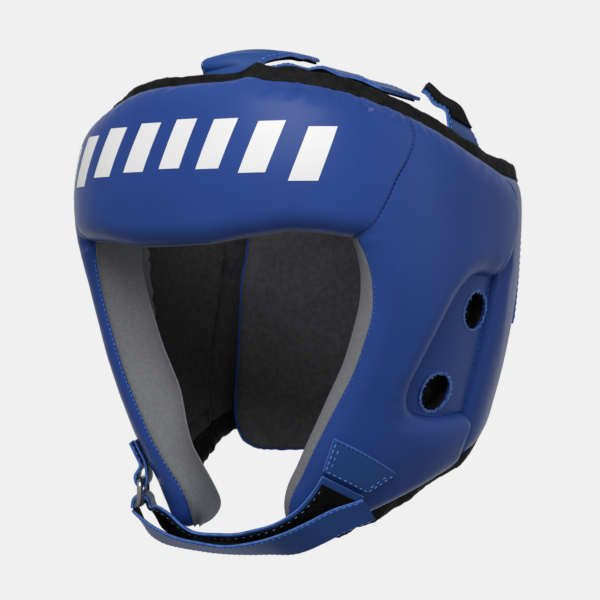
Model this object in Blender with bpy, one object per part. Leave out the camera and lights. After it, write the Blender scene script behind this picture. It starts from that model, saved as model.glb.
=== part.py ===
"""Boxing headgear, size M: padded leather shell, rear closure, chin strap and crown straps.

The front faces -Y, +Z is up and the wearer's left is +X. The origin is the middle of the head cavity.
Outlines are written as (angle, height): the angle in degrees runs from the front towards the wearer's
left, and the height is in millimetres. Depths are in millimetres from the middle of the padding,
outwards positive.
"""

import math

import bmesh
import bpy
import numpy as np
from mathutils import Vector

MM = 0.001

# ---------------------------------------------------------------- driving sizes, in millimetres
PAD = 11.0            # half the thickness of the forehead and side padding
LEATHER = 1.6         # leather cover
SUEDE = 1.3           # suede lining
GAP = 0.45            # clearance between two layers
SEAM = 3.0            # half the thickness of a pad where cover and lining meet at its edge
EDGE_ROUND = 11.0     # distance over which a pad rounds off to its seam
HEM_ROUND = 15.0      # the same at the top hem, under the binding
EAR_DEPTH = 2.5       # outer face of the recessed ear panel
HOLE_HEIGHT = 19.0    # sound holes
HOLE_WIDTH = 23.5
BINDING_HEIGHT = 8.0
BINDING_THICKNESS = 6.6
WING_OUTER = 8.5      # outer face of a rear wing
WING_INNER = -1.0     # its inner face, where it laps over the back pad
BACK_OUTER = -2.0     # outer face of the back pad
BACK_INNER = -14.0
BACK_CROWN = 8.5      # how much thicker the back pad is between the wings
STRAP = 2.2           # strap leather
PATCH = 1.0           # hook or loop tape
FLEX_ANGLE = 102.5    # line behind the ear where a wing bends
WING_REAR = 156.0     # rear end of a wing
REAR_STRAP = 2.0      # leather of the rear closure
REAR_STRAP_HEIGHTS = (-10, 40)

# Horizontal sections of the middle of the padding:
# height, half width, depth in front, depth behind, centre's y, roundness of the front half
SECTIONS = np.array([
    (-130, 37, 46, 52, 0, 2.2),
    (-110, 48, 57, 62, 1, 2.2),
    (-90, 60, 67, 74, 2, 2.2),
    (-70, 71, 77, 88, 3, 2.2),
    (-45, 79, 85, 95, 4, 2.2),
    (-15, 86, 93, 100, 5, 2.3),
    (20, 91, 99, 103, 5, 2.5),
    (55, 92, 101, 103, 5, 2.6),
    (80, 88, 97, 99, 5, 2.5),
    (100, 81, 90, 92, 5, 2.4),
    (120, 71, 80, 82, 5, 2.3),
], float)
BACK_ROUNDNESS = 2.2

# Heights along the top hem, where the binding starts. The wearer's right is a little lower in front.
RIM_LEFT = [(0, 97), (16, 97), (29, 95.5), (42, 91), (58, 82), (70, 75), (82, 68.5), (100, 61),
            (124, 57), (150, 54), (180, 53)]
RIM_RIGHT = [(0, 97), (12, 95.7), (22, 92.6), (35, 86.5), (48, 82), (60, 78), (70, 73.5), (82, 68.5),
             (100, 61), (124, 57), (150, 54), (180, 53)]

# Heights along the lower edge of the forehead, above the face opening.
BROW = [(-43, 28), (-35, 28), (-27, 27.3), (-15, 24.6), (-5, 24.8), (7, 25.6), (17, 28.2), (28, 30.8),
        (35, 30.2), (43, 28)]

# Heights along the lower edge of the sides. The right wing sits about 10 mm higher.
JAW_LEFT = [(44, -104), (57, -97), (72, -90), (88, -83), (102, -76.5), (113, -71.5), (124, -65), (148, -56)]
JAW_RIGHT = [(44, -103), (57, -94), (72, -84), (88, -74), (102, -67), (113, -61), (124, -56), (148, -48)]

# The side pad, from the top hem down to the tip of the cheek: its front edge, then its rear edge.
# None as a height means the hem's height, "jaw" means the lower edge's height.
SIDE_STATIONS = [
    ((57.0, None), (100.5, None)),
    ((57.2, 76), (104, 56.5)),
    ((57.0, 70), (108, 51.5)),
    ((54.5, 61), (111.5, 45)),
    ((51.2, 52), (112, 37.5)),
    ((48.7, 43), (110, 29)),
    ((46.0, 34.5), (105.5, 19)),
    ((43.4, 28.6), (99, 11.8)),
    ((44.9, 21), (90.5, 12.4)),
    ((46.4, 11), (82.5, 9.5)),
    ((46.7, -2), (76, 1)),
    ((45.3, -15), (71, -13)),
    ((42.9, -30), (66.7, -27)),
    ((39.7, -42), (63.6, -40)),
    ((36.2, -54), (66, -49.5)),
    ((33.4, -63), (76, -53.8)),
    ((31.2, -70), (90, -54)),
    ((29.0, -77), (FLEX_ANGLE, -54)),
    ((27.0, -82), (FLEX_ANGLE, -65)),
    ((25.5, -86.5), (FLEX_ANGLE, "jaw")),
    ((24.4, -91.5), (88, "jaw")),
    ((24.2, -97), (72, "jaw")),
    ((25.6, -102.5), (57, "jaw")),
    ((29.0, -107), (44, "jaw")),
]
SEAM_ANGLE = 0.45           # clearance between the forehead and the sides, in degrees
FIRST_OPEN_STATION = 7      # below this the front edge is the free edge of the face opening
RECESS_STATIONS = (7, 17)   # the rear edge runs round the ear recess between these
FIRST_JAW_STATION = 19

EAR_TOP = (86.5, 10.0)      # ends of the ear panel's front edge
EAR_BOTTOM = (75.5, -52.4)
EAR_HOLES = [(93.5, -4.7), (78.5, -42.5)]
# The right cheek pad is less full than the left one: how much thinner its outer half is, by height.
RIGHT_CHEEK_SLIMMER = [(-103, 1.5), (-95, 4), (-85, 5.4), (-70, 5.6), (-60, 4.5), (-45, 3), (-25, 2), (10, 1.8),
                       (20, 1), (30, 0)]

BACK_PAD_EDGE = [(128, 47), (127.5, 38), (126.5, 24), (124, 7), (122, -17), (119.5, -38), (117, -53),
                 (116, -66), (118, -76), (124, -81)]
BACK_PAD_BOTTOM = -83.0

BLUE = (0.028, 0.060, 0.250)
BLACK = (0.012, 0.012, 0.011)
GREY = (0.14, 0.14, 0.15)
FOAM = (0.30, 0.30, 0.28)
STEEL = (0.55, 0.55, 0.56)


# ---------------------------------------------------------------- the head form

def section(height, column):
    """A column of SECTIONS at any height, on a smooth curve."""
    heights = SECTIONS[:, 0]
    values = SECTIONS[:, column]
    height = np.clip(height, heights[0], heights[-1])
    slopes = np.gradient(values, heights)
    low = np.clip(np.searchsorted(heights, height, side="right") - 1, 0, len(heights) - 2)
    step = heights[low + 1] - heights[low]
    t = (height - heights[low]) / step
    return ((2 * t**3 - 3 * t**2 + 1) * values[low] + (t**3 - 2 * t**2 + t) * step * slopes[low]
            + (3 * t**2 - 2 * t**3) * values[low + 1] + (t**3 - t**2) * step * slopes[low + 1])


def middle(angle, height):
    """A point of the middle of the padding."""
    angle, height = np.broadcast_arrays(np.radians(np.asarray(angle, float)), np.asarray(height, float))
    sine, cosine = np.sin(angle), np.cos(angle)
    front = cosine > 0
    depth = np.where(front, section(height, 2), section(height, 3))
    power = np.where(front, section(height, 5), BACK_ROUNDNESS)
    radius = ((np.abs(sine) / section(height, 1)) ** power + (np.abs(cosine) / depth) ** power) ** (-1 / power)
    return np.stack([radius * sine, section(height, 4) - radius * cosine, height], -1)


def outward(angle, height):
    """The unit vector that points away from the head."""
    angle = np.asarray(angle, float)
    around = middle(angle + 0.06, height) - middle(angle - 0.06, height)
    up = middle(angle, np.asarray(height) + 0.2) - middle(angle, np.asarray(height) - 0.2)
    normal = np.cross(around, up)
    return normal / np.linalg.norm(normal, axis=-1, keepdims=True)


def on_form(angle, height, depth=0.0):
    return middle(angle, height) + np.asarray(depth, float)[..., None] * outward(angle, height)


def along(outline, angle):
    """The height of an outline at an angle."""
    angles, heights = zip(*outline)
    return np.interp(angle, angles, heights)


def rim(angle):
    """The top hem's height at any angle of either sign."""
    return np.where(np.asarray(angle) >= 0, along(RIM_LEFT, np.abs(angle)), along(RIM_RIGHT, np.abs(angle)))


# ---------------------------------------------------------------- making objects

def material(name, colour, roughness, metallic=0.0):
    made = bpy.data.materials.new(name)
    made.use_nodes = True
    shader = made.node_tree.nodes["Principled BSDF"]
    shader.inputs["Base Color"].default_value = (*colour, 1)
    shader.inputs["Roughness"].default_value = roughness
    shader.inputs["Metallic"].default_value = metallic
    return made


def add_object(name, points, faces, look, smooth_angle=40):
    """One closed mesh from points in millimetres, with its faces turned outwards."""
    mesh = bpy.data.meshes.new(name)
    mesh.from_pydata([Vector(point) * MM for point in points], [], faces)
    work = bmesh.new()
    work.from_mesh(mesh)
    bmesh.ops.recalc_face_normals(work, faces=work.faces)
    if work.calc_volume(signed=True) < 0:
        bmesh.ops.reverse_faces(work, faces=work.faces)
    work.to_mesh(mesh)
    work.free()
    mesh.materials.append(material(name, *look))
    mesh.shade_smooth()
    mesh.set_sharp_from_angle(angle=math.radians(smooth_angle))
    made = bpy.data.objects.new(name, mesh)
    bpy.context.scene.collection.objects.link(made)
    return made


def add_slab(name, outer, inner, look):
    """A closed solid between two grids of points of the same shape, rows by columns."""
    rows, columns = outer.shape[:2]
    points = list(outer.reshape(-1, 3)) + list(inner.reshape(-1, 3))
    below = rows * columns

    def index(row, column):
        return row * columns + column

    faces = []
    for row in range(rows - 1):
        for column in range(columns - 1):
            a, b = index(row, column), index(row, column + 1)
            c, d = index(row + 1, column + 1), index(row + 1, column)
            for triangle in ((a, b, c), (a, c, d)):
                faces.append(triangle)
                faces.append(tuple(corner + below for corner in reversed(triangle)))
    border = [index(0, column) for column in range(columns - 1)]
    border += [index(row, columns - 1) for row in range(rows - 1)]
    border += [index(rows - 1, column) for column in range(columns - 1, 0, -1)]
    border += [index(row, 0) for row in range(rows - 1, 0, -1)]
    for here, there in zip(border, border[1:] + border[:1]):
        faces.append((there, here, here + below, there + below))
    return add_object(name, points, faces, look)


def distance_to(points, outline):
    """The distance of each point from a line through other points."""
    best = np.full(points.shape[:-1], np.inf)
    for start, end in zip(outline[:-1], outline[1:]):
        run = end - start
        t = np.clip(((points - start) @ run) / max(run @ run, 1e-9), 0, 1)
        best = np.minimum(best, np.linalg.norm(points - start - t[..., None] * run, axis=-1))
    return best


def rounded(full, edge, distance, radius):
    """A half thickness that grows from edge to full over the radius, as a quarter ellipse."""
    t = 1 - np.clip(distance / radius, 0, 1)
    return edge + (full - edge) * np.sqrt(1 - t**2)


# ---------------------------------------------------------------- padded panels

class Panel:
    """A padded panel over a grid of (angle, height) points, with rounded free edges."""

    def __init__(self, angles, heights, outer, inner):
        self.angles = angles
        self.heights = heights
        self.outer = outer
        self.inner = inner

    def layer(self, outer, inner):
        return on_form(self.angles, self.heights, outer), on_form(self.angles, self.heights, inner)

    def build(self, side, base):
        """Makes the cover, the foam and the lining, sewn together along all four edges."""
        seam = np.ones(self.angles.shape, bool)
        seam[1:-1, 1:-1] = False
        centre = (self.outer + self.inner) / 2
        under_cover = np.where(seam, centre + GAP / 2, self.outer - LEATHER)
        over_lining = np.where(seam, centre - GAP / 2, self.inner + SUEDE)
        foam_outer, foam_inner = self.layer(self.outer - LEATHER - GAP, self.inner + SUEDE + GAP)
        cover = self.layer(self.outer, under_cover)
        lining = self.layer(over_lining, self.inner)
        return (
            add_slab(base + "_cover" + side, *cover, (BLUE, 0.42)),
            add_slab(base + "_foam" + side, foam_outer[1:-1, 1:-1], foam_inner[1:-1, 1:-1], (FOAM, 0.9)),
            add_slab(base + "_lining" + side, *lining, (GREY, 0.95)),
        )


def forehead():
    """Between the two side seams, from the brow up to the hem."""
    seams = {side: station_points(side)[FIRST_OPEN_STATION::-1, 0] for side in (1, -1)}
    across = np.array([-1, -0.97, -0.82, -0.62, -0.42, -0.22, -0.05, 0.12, 0.28, 0.45, 0.65, 0.84, 0.97, 1])
    up = np.array([0, 0.035, 0.11, 0.22, 0.38, 0.56, 0.72, 0.84, 0.93, 0.975, 1])
    angles = np.empty((len(up), len(across)))
    heights = np.empty_like(angles)
    for row, share in enumerate(up):
        for column, place in enumerate(across):
            seam = seams[1 if place > 0 else -1]
            bottom = along(BROW, place * 43)
            level = seam[0, 1] + share * (seam[-1, 1] - seam[0, 1])
            reach = np.interp(level, seam[:, 1], seam[:, 0]) - SEAM_ANGLE
            angles[row, column] = place * reach
            top = rim(angles[row, column])
            heights[row, column] = bottom + share * (top - bottom)
    flat = middle(angles, heights)
    brow = distance_to(flat, flat[0])
    hem = distance_to(flat, flat[-1])
    half = np.minimum(rounded(PAD, SEAM, brow, EDGE_ROUND), rounded(PAD, SEAM, hem, HEM_ROUND))
    return Panel(angles, heights, half, -half)


def jaw_height(angle, side):
    return along(JAW_LEFT if side > 0 else JAW_RIGHT, angle)


def station_points(side):
    """The front and rear ends of each row of the side pad, with their heights worked out."""
    ends = []
    for row in SIDE_STATIONS:
        ends.append([])
        for angle, height in row:
            if height is None:
                height = float(rim(side * angle))
            elif height == "jaw":
                height = float(jaw_height(angle, side))
            ends[-1].append((angle, height))
    return np.array(ends)


def side_pad(side):
    ends = station_points(side)
    across = np.array([0, 0.055, 0.17, 0.36, 0.58, 0.78, 0.92, 1])
    grid = ends[:, None, 0] + across[None, :, None] * (ends[:, None, 1] - ends[:, None, 0])
    bulge = 4 * across * (1 - across) * 2.5
    grid[-1, :, 1] -= bulge
    grid[-2, :, 1] -= bulge * 0.4
    top = grid[0]
    top[:, 1] = rim(side * top[:, 0])
    for row, share in ((1, 0.85), (2, 0.62), (3, 0.4), (4, 0.2)):
        straight = np.interp(top[:, 0], [top[0, 0], top[-1, 0]], [top[0, 1], top[-1, 1]])
        grid[row, :, 1] += share * (top[:, 1] - straight)
    first, last = RECESS_STATIONS
    flat = middle(grid[..., 0], grid[..., 1])
    opening = np.concatenate([flat[FIRST_OPEN_STATION:, 0], flat[-1], flat[:FIRST_JAW_STATION - 1:-1, -1]])
    free = distance_to(flat, opening)
    recess = distance_to(flat, flat[first:last + 1, -1])
    hem = distance_to(flat, flat[0])
    padding = np.minimum(rounded(PAD, SEAM, free, EDGE_ROUND), rounded(PAD, SEAM, hem, HEM_ROUND))
    outer = np.minimum(padding, rounded(PAD, EAR_DEPTH + 1.5, recess, 9))
    inner = -padding
    flex = distance_to(flat, flat[last:FIRST_JAW_STATION + 1, -1])
    outer = np.minimum(outer, rounded(PAD, WING_OUTER, flex, 12))
    if side < 0:
        outer = SEAM + (outer - SEAM) * (1 - along(RIGHT_CHEEK_SLIMMER, grid[..., 1]) / (PAD - SEAM))
    return Panel(side * grid[..., 0], grid[..., 1], outer, inner)


def ear(side):
    """The thin recessed panel behind the cheek, with its two sound holes."""
    front = [EAR_TOP] + [(angle + 1.1, height) for angle, height in station_points(side)[10:15, 1]] + [EAR_BOTTOM]
    rear_angle = FLEX_ANGLE - 0.5
    grid = np.empty((len(front), 6, 2))
    for row, (angle, height) in enumerate(front):
        for column, share in enumerate(np.linspace(0, 1, 6)):
            grid[row, column] = (angle + share * (rear_angle - angle), height)
    return side * grid[..., 0], grid[..., 1]


def wing_edges(side):
    """Front edge of a wing, from the hem down: behind the side pad's rear bulge, then the flex line."""
    ends = station_points(side)
    bulge = [(angle + 0.7, height) for angle, height in ends[:7, 1]]
    below = [(FLEX_ANGLE + 0.7, height) for height in (9.5, -6, -22, -38, -54)]
    below.append((FLEX_ANGLE + 0.7, float(jaw_height(FLEX_ANGLE + 0.7, side))))
    return bulge + below


def wing(side):
    front = wing_edges(side)
    front[0] = (front[0][0], float(rim(side * front[0][0])))
    rear_angle = WING_REAR
    rear_top = 46.0
    rear_low = float(jaw_height(rear_angle, side)) + 4
    across = np.array([0, 0.06, 0.22, 0.45, 0.68, 0.85, 0.95, 1])
    grid = np.empty((len(front), len(across), 2))
    for row, (angle, height) in enumerate(front):
        share = (front[0][1] - height) / (front[0][1] - front[-1][1])
        rear_height = rear_top + share * (rear_low - rear_top)
        for column, place in enumerate(across):
            reach = angle + place * (rear_angle - angle)
            level = height + place * (rear_height - height)
            if row == 0:
                level = float(rim(side * reach)) - 6 * place**6
            elif row == len(front) - 1:
                level = float(jaw_height(reach, side)) + 6 * place**6
            grid[row, column] = (reach, level)
    straight_top = front[0][1] + across * (rear_top - front[0][1])
    straight_low = front[-1][1] + across * (rear_low - front[-1][1])
    lift = grid[0, :, 1] - straight_top
    drop = grid[-1, :, 1] - straight_low
    for row in range(1, len(front) - 1):
        share = (front[0][1] - front[row][1]) / (front[0][1] - front[-1][1])
        grid[row, :, 1] += (1 - share) ** 2 * lift + share**2 * drop
    angles, heights = grid[..., 0], grid[..., 1]
    flat = middle(angles, heights)
    taper = np.clip((angles - FLEX_ANGLE) / (117 - FLEX_ANGLE), 0, 1)
    outer = np.full(angles.shape, WING_OUTER)
    inner = -9 + taper * (WING_INNER + 9)
    free = np.minimum(distance_to(flat, flat[0]), distance_to(flat, flat[-1]))
    free = np.minimum(free, distance_to(flat, flat[:, -1]))
    centre = (outer + inner) / 2
    half = np.minimum((outer - inner) / 2, rounded((outer - inner) / 2, 2.6, free, 9))
    return Panel(side * angles, heights, centre + half, centre - half)


def back_pad():
    """The pad at the nape, inside the wings, on the middle of the back."""
    half_row = np.array([0.2, 0.41, 0.545, 0.7, 0.85, 0.96, 1])
    across = np.concatenate([-half_row[::-1], [0], half_row])
    rows = BACK_PAD_EDGE
    grid = np.empty((len(rows), len(across), 2))
    for row, (angle, height) in enumerate(rows):
        for column, place in enumerate(across):
            grid[row, column] = (180 + place * (180 - angle), height)
    grid[-1, :, 1] += (BACK_PAD_BOTTOM - rows[-1][1]) * (1 - across**6)
    grid[-2, :, 1] += (BACK_PAD_BOTTOM + 5 - rows[-2][1]) * (1 - across**6) * 0.8
    angles, heights = grid[..., 0], grid[..., 1]
    flat = middle(angles, heights)
    border = np.concatenate([flat[0], flat[:, -1], flat[-1, ::-1], flat[::-1, 0]])
    free = distance_to(flat, border)
    centre = (BACK_OUTER + BACK_INNER) / 2
    half = rounded((BACK_OUTER - BACK_INNER) / 2, 2.8, free, 9)
    between_wings = (np.abs(across) < 0.35) & (free > 5)
    crown = np.where(between_wings, rounded(BACK_CROWN, 0, free - 5, 12), 0)
    return Panel(angles, heights, centre + half + crown, centre - half)


# ---------------------------------------------------------------- bindings, straps, ring

def smooth_path(points, count):
    """Points spread evenly in parameter on a Catmull-Rom curve through the given ones."""
    points = np.asarray(points, float)
    padded = np.concatenate([[2 * points[0] - points[1]], points, [2 * points[-1] - points[-2]]])
    made = []
    for place in np.linspace(0, len(points) - 1, count):
        k = min(int(place), len(points) - 2)
        t = place - k
        a, b, c, d = padded[k:k + 4]
        made.append(0.5 * (2 * b + (c - a) * t + (2 * a - 5 * b + 4 * c - d) * t**2
                           + (3 * b - a - 3 * c + d) * t**3))
    return np.array(made)


def binding(name, angles, heights, centres, rising, look=(BLACK, 0.8)):
    """A folded tape along an edge: a rounded bar on the edge, above it or below it."""
    low = GAP if rising else -GAP
    reach = BINDING_HEIGHT if rising else -BINDING_HEIGHT
    half = BINDING_THICKNESS / 2
    profile = [(half * 0.86, low), (half, low + reach * 0.2), (half, reach * 0.72), (half * 0.55, reach),
               (-half * 0.55, reach), (-half, reach * 0.72), (-half, low + reach * 0.2), (-half * 0.86, low)]
    rings = []
    for angle, height, centre in zip(angles, heights, centres):
        rings.append([on_form(angle, height + rise, centre + offset) for offset, rise in profile])
    return add_tube(name, np.array(rings), look)


def add_tube(name, rings, look):
    """A closed solid through a row of rings of points, with flat ends."""
    count, size = rings.shape[:2]
    points = list(rings.reshape(-1, 3))
    faces = []
    for ring in range(count - 1):
        for corner in range(size):
            following = (corner + 1) % size
            faces.append((ring * size + corner, ring * size + following,
                          (ring + 1) * size + following, (ring + 1) * size + corner))
    faces.append(tuple(range(size - 1, -1, -1)))
    faces.append(tuple((count - 1) * size + corner for corner in range(size)))
    return add_object(name, points, faces, look)


def band(name, front, rear, count, thickness, look, offset=0.0, across=3, inset=0.0):
    """A flat strap between two edge curves, its middle layer moved outwards by the offset."""
    front = smooth_path(front, count)
    rear = smooth_path(rear, count)
    if inset:
        wide = rear - front
        wide /= np.linalg.norm(wide, axis=-1, keepdims=True)
        front, rear = front + inset * wide, rear - inset * wide
    shares = np.linspace(0, 1, across)
    middle_layer = front[:, None] + shares[None, :, None] * (rear - front)[:, None]
    forward = np.gradient(middle_layer, axis=0)
    sideways = np.broadcast_to((rear - front)[:, None], forward.shape)
    normal = np.cross(forward, sideways)
    normal /= np.linalg.norm(normal, axis=-1, keepdims=True)
    return add_slab(name, middle_layer + (offset + thickness / 2) * normal,
                    middle_layer + (offset - thickness / 2) * normal, look)


def patch(name, corners, depth, thickness, look, rows=4, columns=5):
    """A flat sheet on the form between four (angle, height) corners; depth may be given per column."""
    a, b, c, d = np.array(corners, float)
    s = np.linspace(0, 1, columns)[None, :, None]
    t = np.linspace(0, 1, rows)[:, None, None]
    grid = (1 - t) * ((1 - s) * a + s * b) + t * ((1 - s) * d + s * c)
    depth = np.broadcast_to(depth, (rows, columns))
    return add_slab(name, on_form(grid[..., 0], grid[..., 1], depth + thickness),
                    on_form(grid[..., 0], grid[..., 1], depth), look)


def hinge(name, place, children, direction=(0, 0, 1)):
    """An empty on a joint's axis, its Z along the axis, that carries the moving pieces."""
    empty = bpy.data.objects.new(name, None)
    empty.empty_display_size = 0.02
    empty.rotation_mode = "QUATERNION"
    empty.rotation_quaternion = Vector(direction).to_track_quat("Z", "Y")
    empty.location = Vector(place) * MM
    bpy.context.scene.collection.objects.link(empty)
    bpy.context.view_layer.update()
    for child in children:
        child.parent = empty
        child.matrix_parent_inverse = empty.matrix_world.inverted()
    return empty


# ---------------------------------------------------------------- the pieces

def form_points(places):
    """Points from (angle, height, depth) triples."""
    return [on_form(angle, height, depth) for angle, height, depth in places]


def ear_pieces(side, label):
    angles, heights = ear(side)
    foam_top = EAR_DEPTH - LEATHER - GAP
    lining_top = -PAD + 1.0 + SUEDE
    layers = {
        "ear_panel": (EAR_DEPTH, EAR_DEPTH - LEATHER, (BLUE, 0.42)),
        "ear_foam": (foam_top, lining_top + GAP, (FOAM, 0.9)),
        "ear_lining": (lining_top, lining_top - SUEDE, (GREY, 0.95)),
    }
    cutters = []
    for number, (angle, height) in enumerate(EAR_HOLES, 1):
        place = Vector(on_form(side * angle, height, -4)) * MM
        axis = Vector(outward(side * angle, height))
        bpy.ops.mesh.primitive_cylinder_add(vertices=16, radius=HOLE_HEIGHT / 2 * MM, depth=30 * MM,
                                            location=place)
        cutter = bpy.context.object
        cutter.scale.x = HOLE_WIDTH / HOLE_HEIGHT
        cutter.name = f"ear_hole_cutter_{label}_{number}"
        cutter.rotation_mode = "QUATERNION"
        cutter.rotation_quaternion = axis.to_track_quat("Z", "Y")
        cutter.hide_render = True
        cutter.display_type = "WIRE"
        cutters.append(cutter)
    for name, (top, bottom, look) in layers.items():
        piece = add_slab(f"{name}_{label}", on_form(angles, heights, top), on_form(angles, heights, bottom), look)
        if name == "ear_lining":
            continue
        for cutter in cutters:
            cut = piece.modifiers.new("hole", "BOOLEAN")
            cut.operation = "DIFFERENCE"
            cut.object = cutter


def crown_binding():
    """Round the front and the sides; the wings carry their own lengths."""
    reach = 100.0
    angles = np.concatenate([np.linspace(-reach, -24, 13), np.linspace(-18, 18, 7), np.linspace(24, reach, 13)])
    binding("crown_binding", angles, rim(angles), np.zeros(len(angles)), rising=True)


def jaw_binding(side, label):
    angles = np.linspace(47, FLEX_ANGLE - 0.4, 12)
    heights = [float(jaw_height(angle, side)) for angle in angles]
    binding("jaw_binding_" + label, side * angles, heights, np.zeros(len(angles)), rising=False)


def wing_binding(side, label, panel, row, rising):
    """Along the top or the lower edge of a wing, on the middle of its thickness."""
    centre = (panel.outer[row] + panel.inner[row]) / 2
    name = ("wing_top_binding_" if rising else "wing_lower_binding_") + label
    return binding(name, panel.angles[row], panel.heights[row], centre, rising=rising)


def rear_closure():
    """A strap behind the head: sewn to the right wing, lapping over the left wing's loop patch."""
    face = WING_OUTER + GAP
    lap = face + PATCH + GAP
    low, high = REAR_STRAP_HEIGHTS
    patch("rear_loop_patch", [(140, high), (154.5, high), (154.5, low), (140, low)], face, PATCH, (BLACK, 0.95))
    root = patch("rear_strap_root", [(-140, high), (-155.3, high), (-155.3, low), (-140, low)], face, REAR_STRAP,
                 (BLUE, 0.42))
    angles = np.linspace(-156.4, -220, 13)
    inner = np.interp(-angles, [156, 168, 196, 220], [face, face, lap + PATCH + GAP, lap + PATCH + GAP])
    strap = patch("rear_strap", [(angles[0], high), (angles[-1], high), (angles[-1], low), (angles[0], low)],
                  inner, REAR_STRAP, (BLUE, 0.42), rows=4, columns=len(angles))
    hooks = patch("rear_hook_patch", [(141.5, high - 3), (153, high - 3), (153, low + 3), (141.5, low + 3)], lap,
                  PATCH, (BLACK, 0.95))
    return root, [strap, hooks]


RING_BAR = np.array([-62.5, -46.5, -98.5])          # middle of the ring's lower bar
BAR_ALONG = np.array([-0.5, 0.866, 0.0])
BAR_OUT = np.array([-0.866, -0.5, 0.0])
RING_UP = np.array([0.0, 0.0, 1.0])                 # from the lower bar to the upper one, along the cheek
RING_HEIGHT = 11.0
RING_HALF_WIDTH = 15.0
RING_WIRE = 1.5
TAIL_PIVOT = (4.2, -2.9)                            # where the tail leaves the lower bar: out and up


def at_bar(out, up, along_bar):
    return RING_BAR + BAR_OUT * out + BAR_ALONG * along_bar + np.array([0, 0, up])


def in_ring(out, up, along_bar):
    """The same place measured in the ring's own tilted plane."""
    outwards = np.cross(RING_UP, BAR_ALONG)
    return RING_BAR + outwards * out + BAR_ALONG * along_bar + RING_UP * up


def chin_strap():
    """Sewn under the left patch, it runs below the chin, through the ring and over its lower bar."""
    patch("chin_anchor_patch", [(39.3, -59), (61.2, -74.2), (51.5, -82.4), (36.8, -72.7)], 11.5, 2.0,
          (BLUE, 0.42))
    strap_front = form_points([
        (36.6, -74.2, 12.8), (33.4, -81.3, 14), (28.9, -88.2, 15.8), (21.9, -94.2, 17.3), (12.5, -98.7, 17.7),
        (1.6, -100.8, 17.7), (-9, -101, 17.2), (-16, -98.5, 15.9), (-22, -94, 15), (-29, -91, 15)])
    strap_rear = form_points([
        (51.0, -83.8, 12.8), (46.0, -90.8, 13.6), (40, -97.6, 13.4), (31, -103.8, 11.4), (17, -108.5, 5.0),
        (1.6, -110.3, 2.2), (-12, -110, 2.8), (-24, -107.2, 6.8), (-34, -104, 11.6), (-42, -100.5, 14.6)])
    turn = [(-4.6, -2.0), (-3.3, 2.0), (0, 4.0), (3.3, 2.0), (4.2, -2.4)]
    strap_front += [at_bar(out, up, -11) for out, up in turn]
    strap_rear += [at_bar(out, up, 11) for out, up in turn]
    band("chin_strap", strap_front, strap_rear, 40, STRAP, (BLUE, 0.42))


def chin_tail():
    """The strap's end, folded back outside over the strap as far as the left cheek."""
    tail_front = [at_bar(4.2, -3.4, -11)] + form_points([
        (-36, -95, 21.5), (-26, -99, 21.2), (-17, -102, 20.5), (-8, -104.6, 19.2), (4, -105.6, 18.4),
        (15.5, -102.6, 18.6), (24, -98.2, 19), (31.5, -92.4, 19.2), (40, -85.8, 19), (48.5, -81.6, 18.6)])
    tail_rear = [at_bar(4.2, -3.4, 11)] + form_points([
        (-49, -101.5, 21.5), (-42, -107.4, 18.6), (-33, -112, 12.6), (-19, -115.8, 6.8), (0, -116.8, 4.2),
        (16, -115, 6.0), (28, -111, 12.2), (38, -102.8, 16.8), (46, -95.8, 18.6), (54.5, -91.2, 18.6)])
    return band("chin_tail", tail_front, tail_rear, 30, STRAP, (BLUE, 0.42))


def chin_ring():
    """A rectangular wire ring that hangs in the tab and holds the chin strap."""
    corners = []
    for centre_u, centre_z, start in ((1, 1, 0), (-1, 1, 90), (-1, -1, 180), (1, -1, 270)):
        for step in range(4):
            turn = math.radians(start + step * 30)
            corners.append((centre_u * (RING_HALF_WIDTH - 3) + 3 * math.cos(turn),
                            centre_z * (RING_HEIGHT / 2 - 3) + 3 * math.sin(turn)))
    rings = []
    for number, (u, up) in enumerate(corners):
        before = np.array(corners[number - 1])
        after = np.array(corners[(number + 1) % len(corners)])
        tangent = (after - before) / np.linalg.norm(after - before)
        side = np.array([tangent[1], -tangent[0]])
        ring = []
        for step in range(8):
            turn = math.radians(step * 45)
            swell = side * RING_WIRE * math.cos(turn)
            ring.append(in_ring(RING_WIRE * math.sin(turn), RING_HEIGHT / 2 + up + swell[1], u + swell[0]))
        rings.append(ring)
    add_ring("chin_ring", np.array(rings), (STEEL, 0.3, 1.0))


def ring_tab():
    """Sewn to the right cheek, down round the ring's upper bar and up again."""
    loop = RING_WIRE + GAP + LEATHER / 2
    edges = []
    for angle, shift in ((-44.5, -10.5), (-58.5, 10.5)):
        edges.append(
            form_points([(angle, -66, 7.6), (angle, -71, 7.2), (angle, -76, 7.2)])
            + [in_ring(out * loop, RING_HEIGHT + up * loop, shift)
               for out, up in ((-1, 0.9), (-1, 0), (-0.7, -0.7), (0, -1), (0.7, -0.7), (1, 0), (1, 0.9))]
            + form_points([(angle, -76, 9.8), (angle, -71, 9.6), (angle, -66, 9.9)]))
    band("ring_tab", edges[0], edges[1], 37, LEATHER, (BLUE, 0.42))


def crown_strap(name, first_edge, second_edge, patch_name, patch_part, above):
    """A strap over the crown, with hook or loop tape on its upper or lower face near its end."""
    strap = band(name, first_edge, second_edge, 20, STRAP, (BLUE, 0.42))
    start, stop = patch_part
    spread = STRAP / 2 + GAP + PATCH / 2
    tape = band(patch_name, smooth_path(first_edge, 20)[start:stop], smooth_path(second_edge, 20)[start:stop],
                2 * (stop - start), PATCH, (BLACK, 0.95), offset=spread if above else -spread, inset=2.5)
    return [strap, tape]


def strap_root(angle):
    """Up the inner face of the binding."""
    return [on_form(angle, rim(angle) + rise, -depth) for rise, depth in ((0.8, 4.9), (10, 5.4))]


def lift_hinge(name, first, second, pieces):
    """Across a crown strap where it leaves the binding's upper edge, between two angles on the rim."""
    ends = [on_form(angle, rim(angle) + BINDING_HEIGHT + GAP, -3.6) for angle in (first, second)]
    hinge(name, (ends[0] + ends[1]) / 2, pieces, ends[1] - ends[0])


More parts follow.
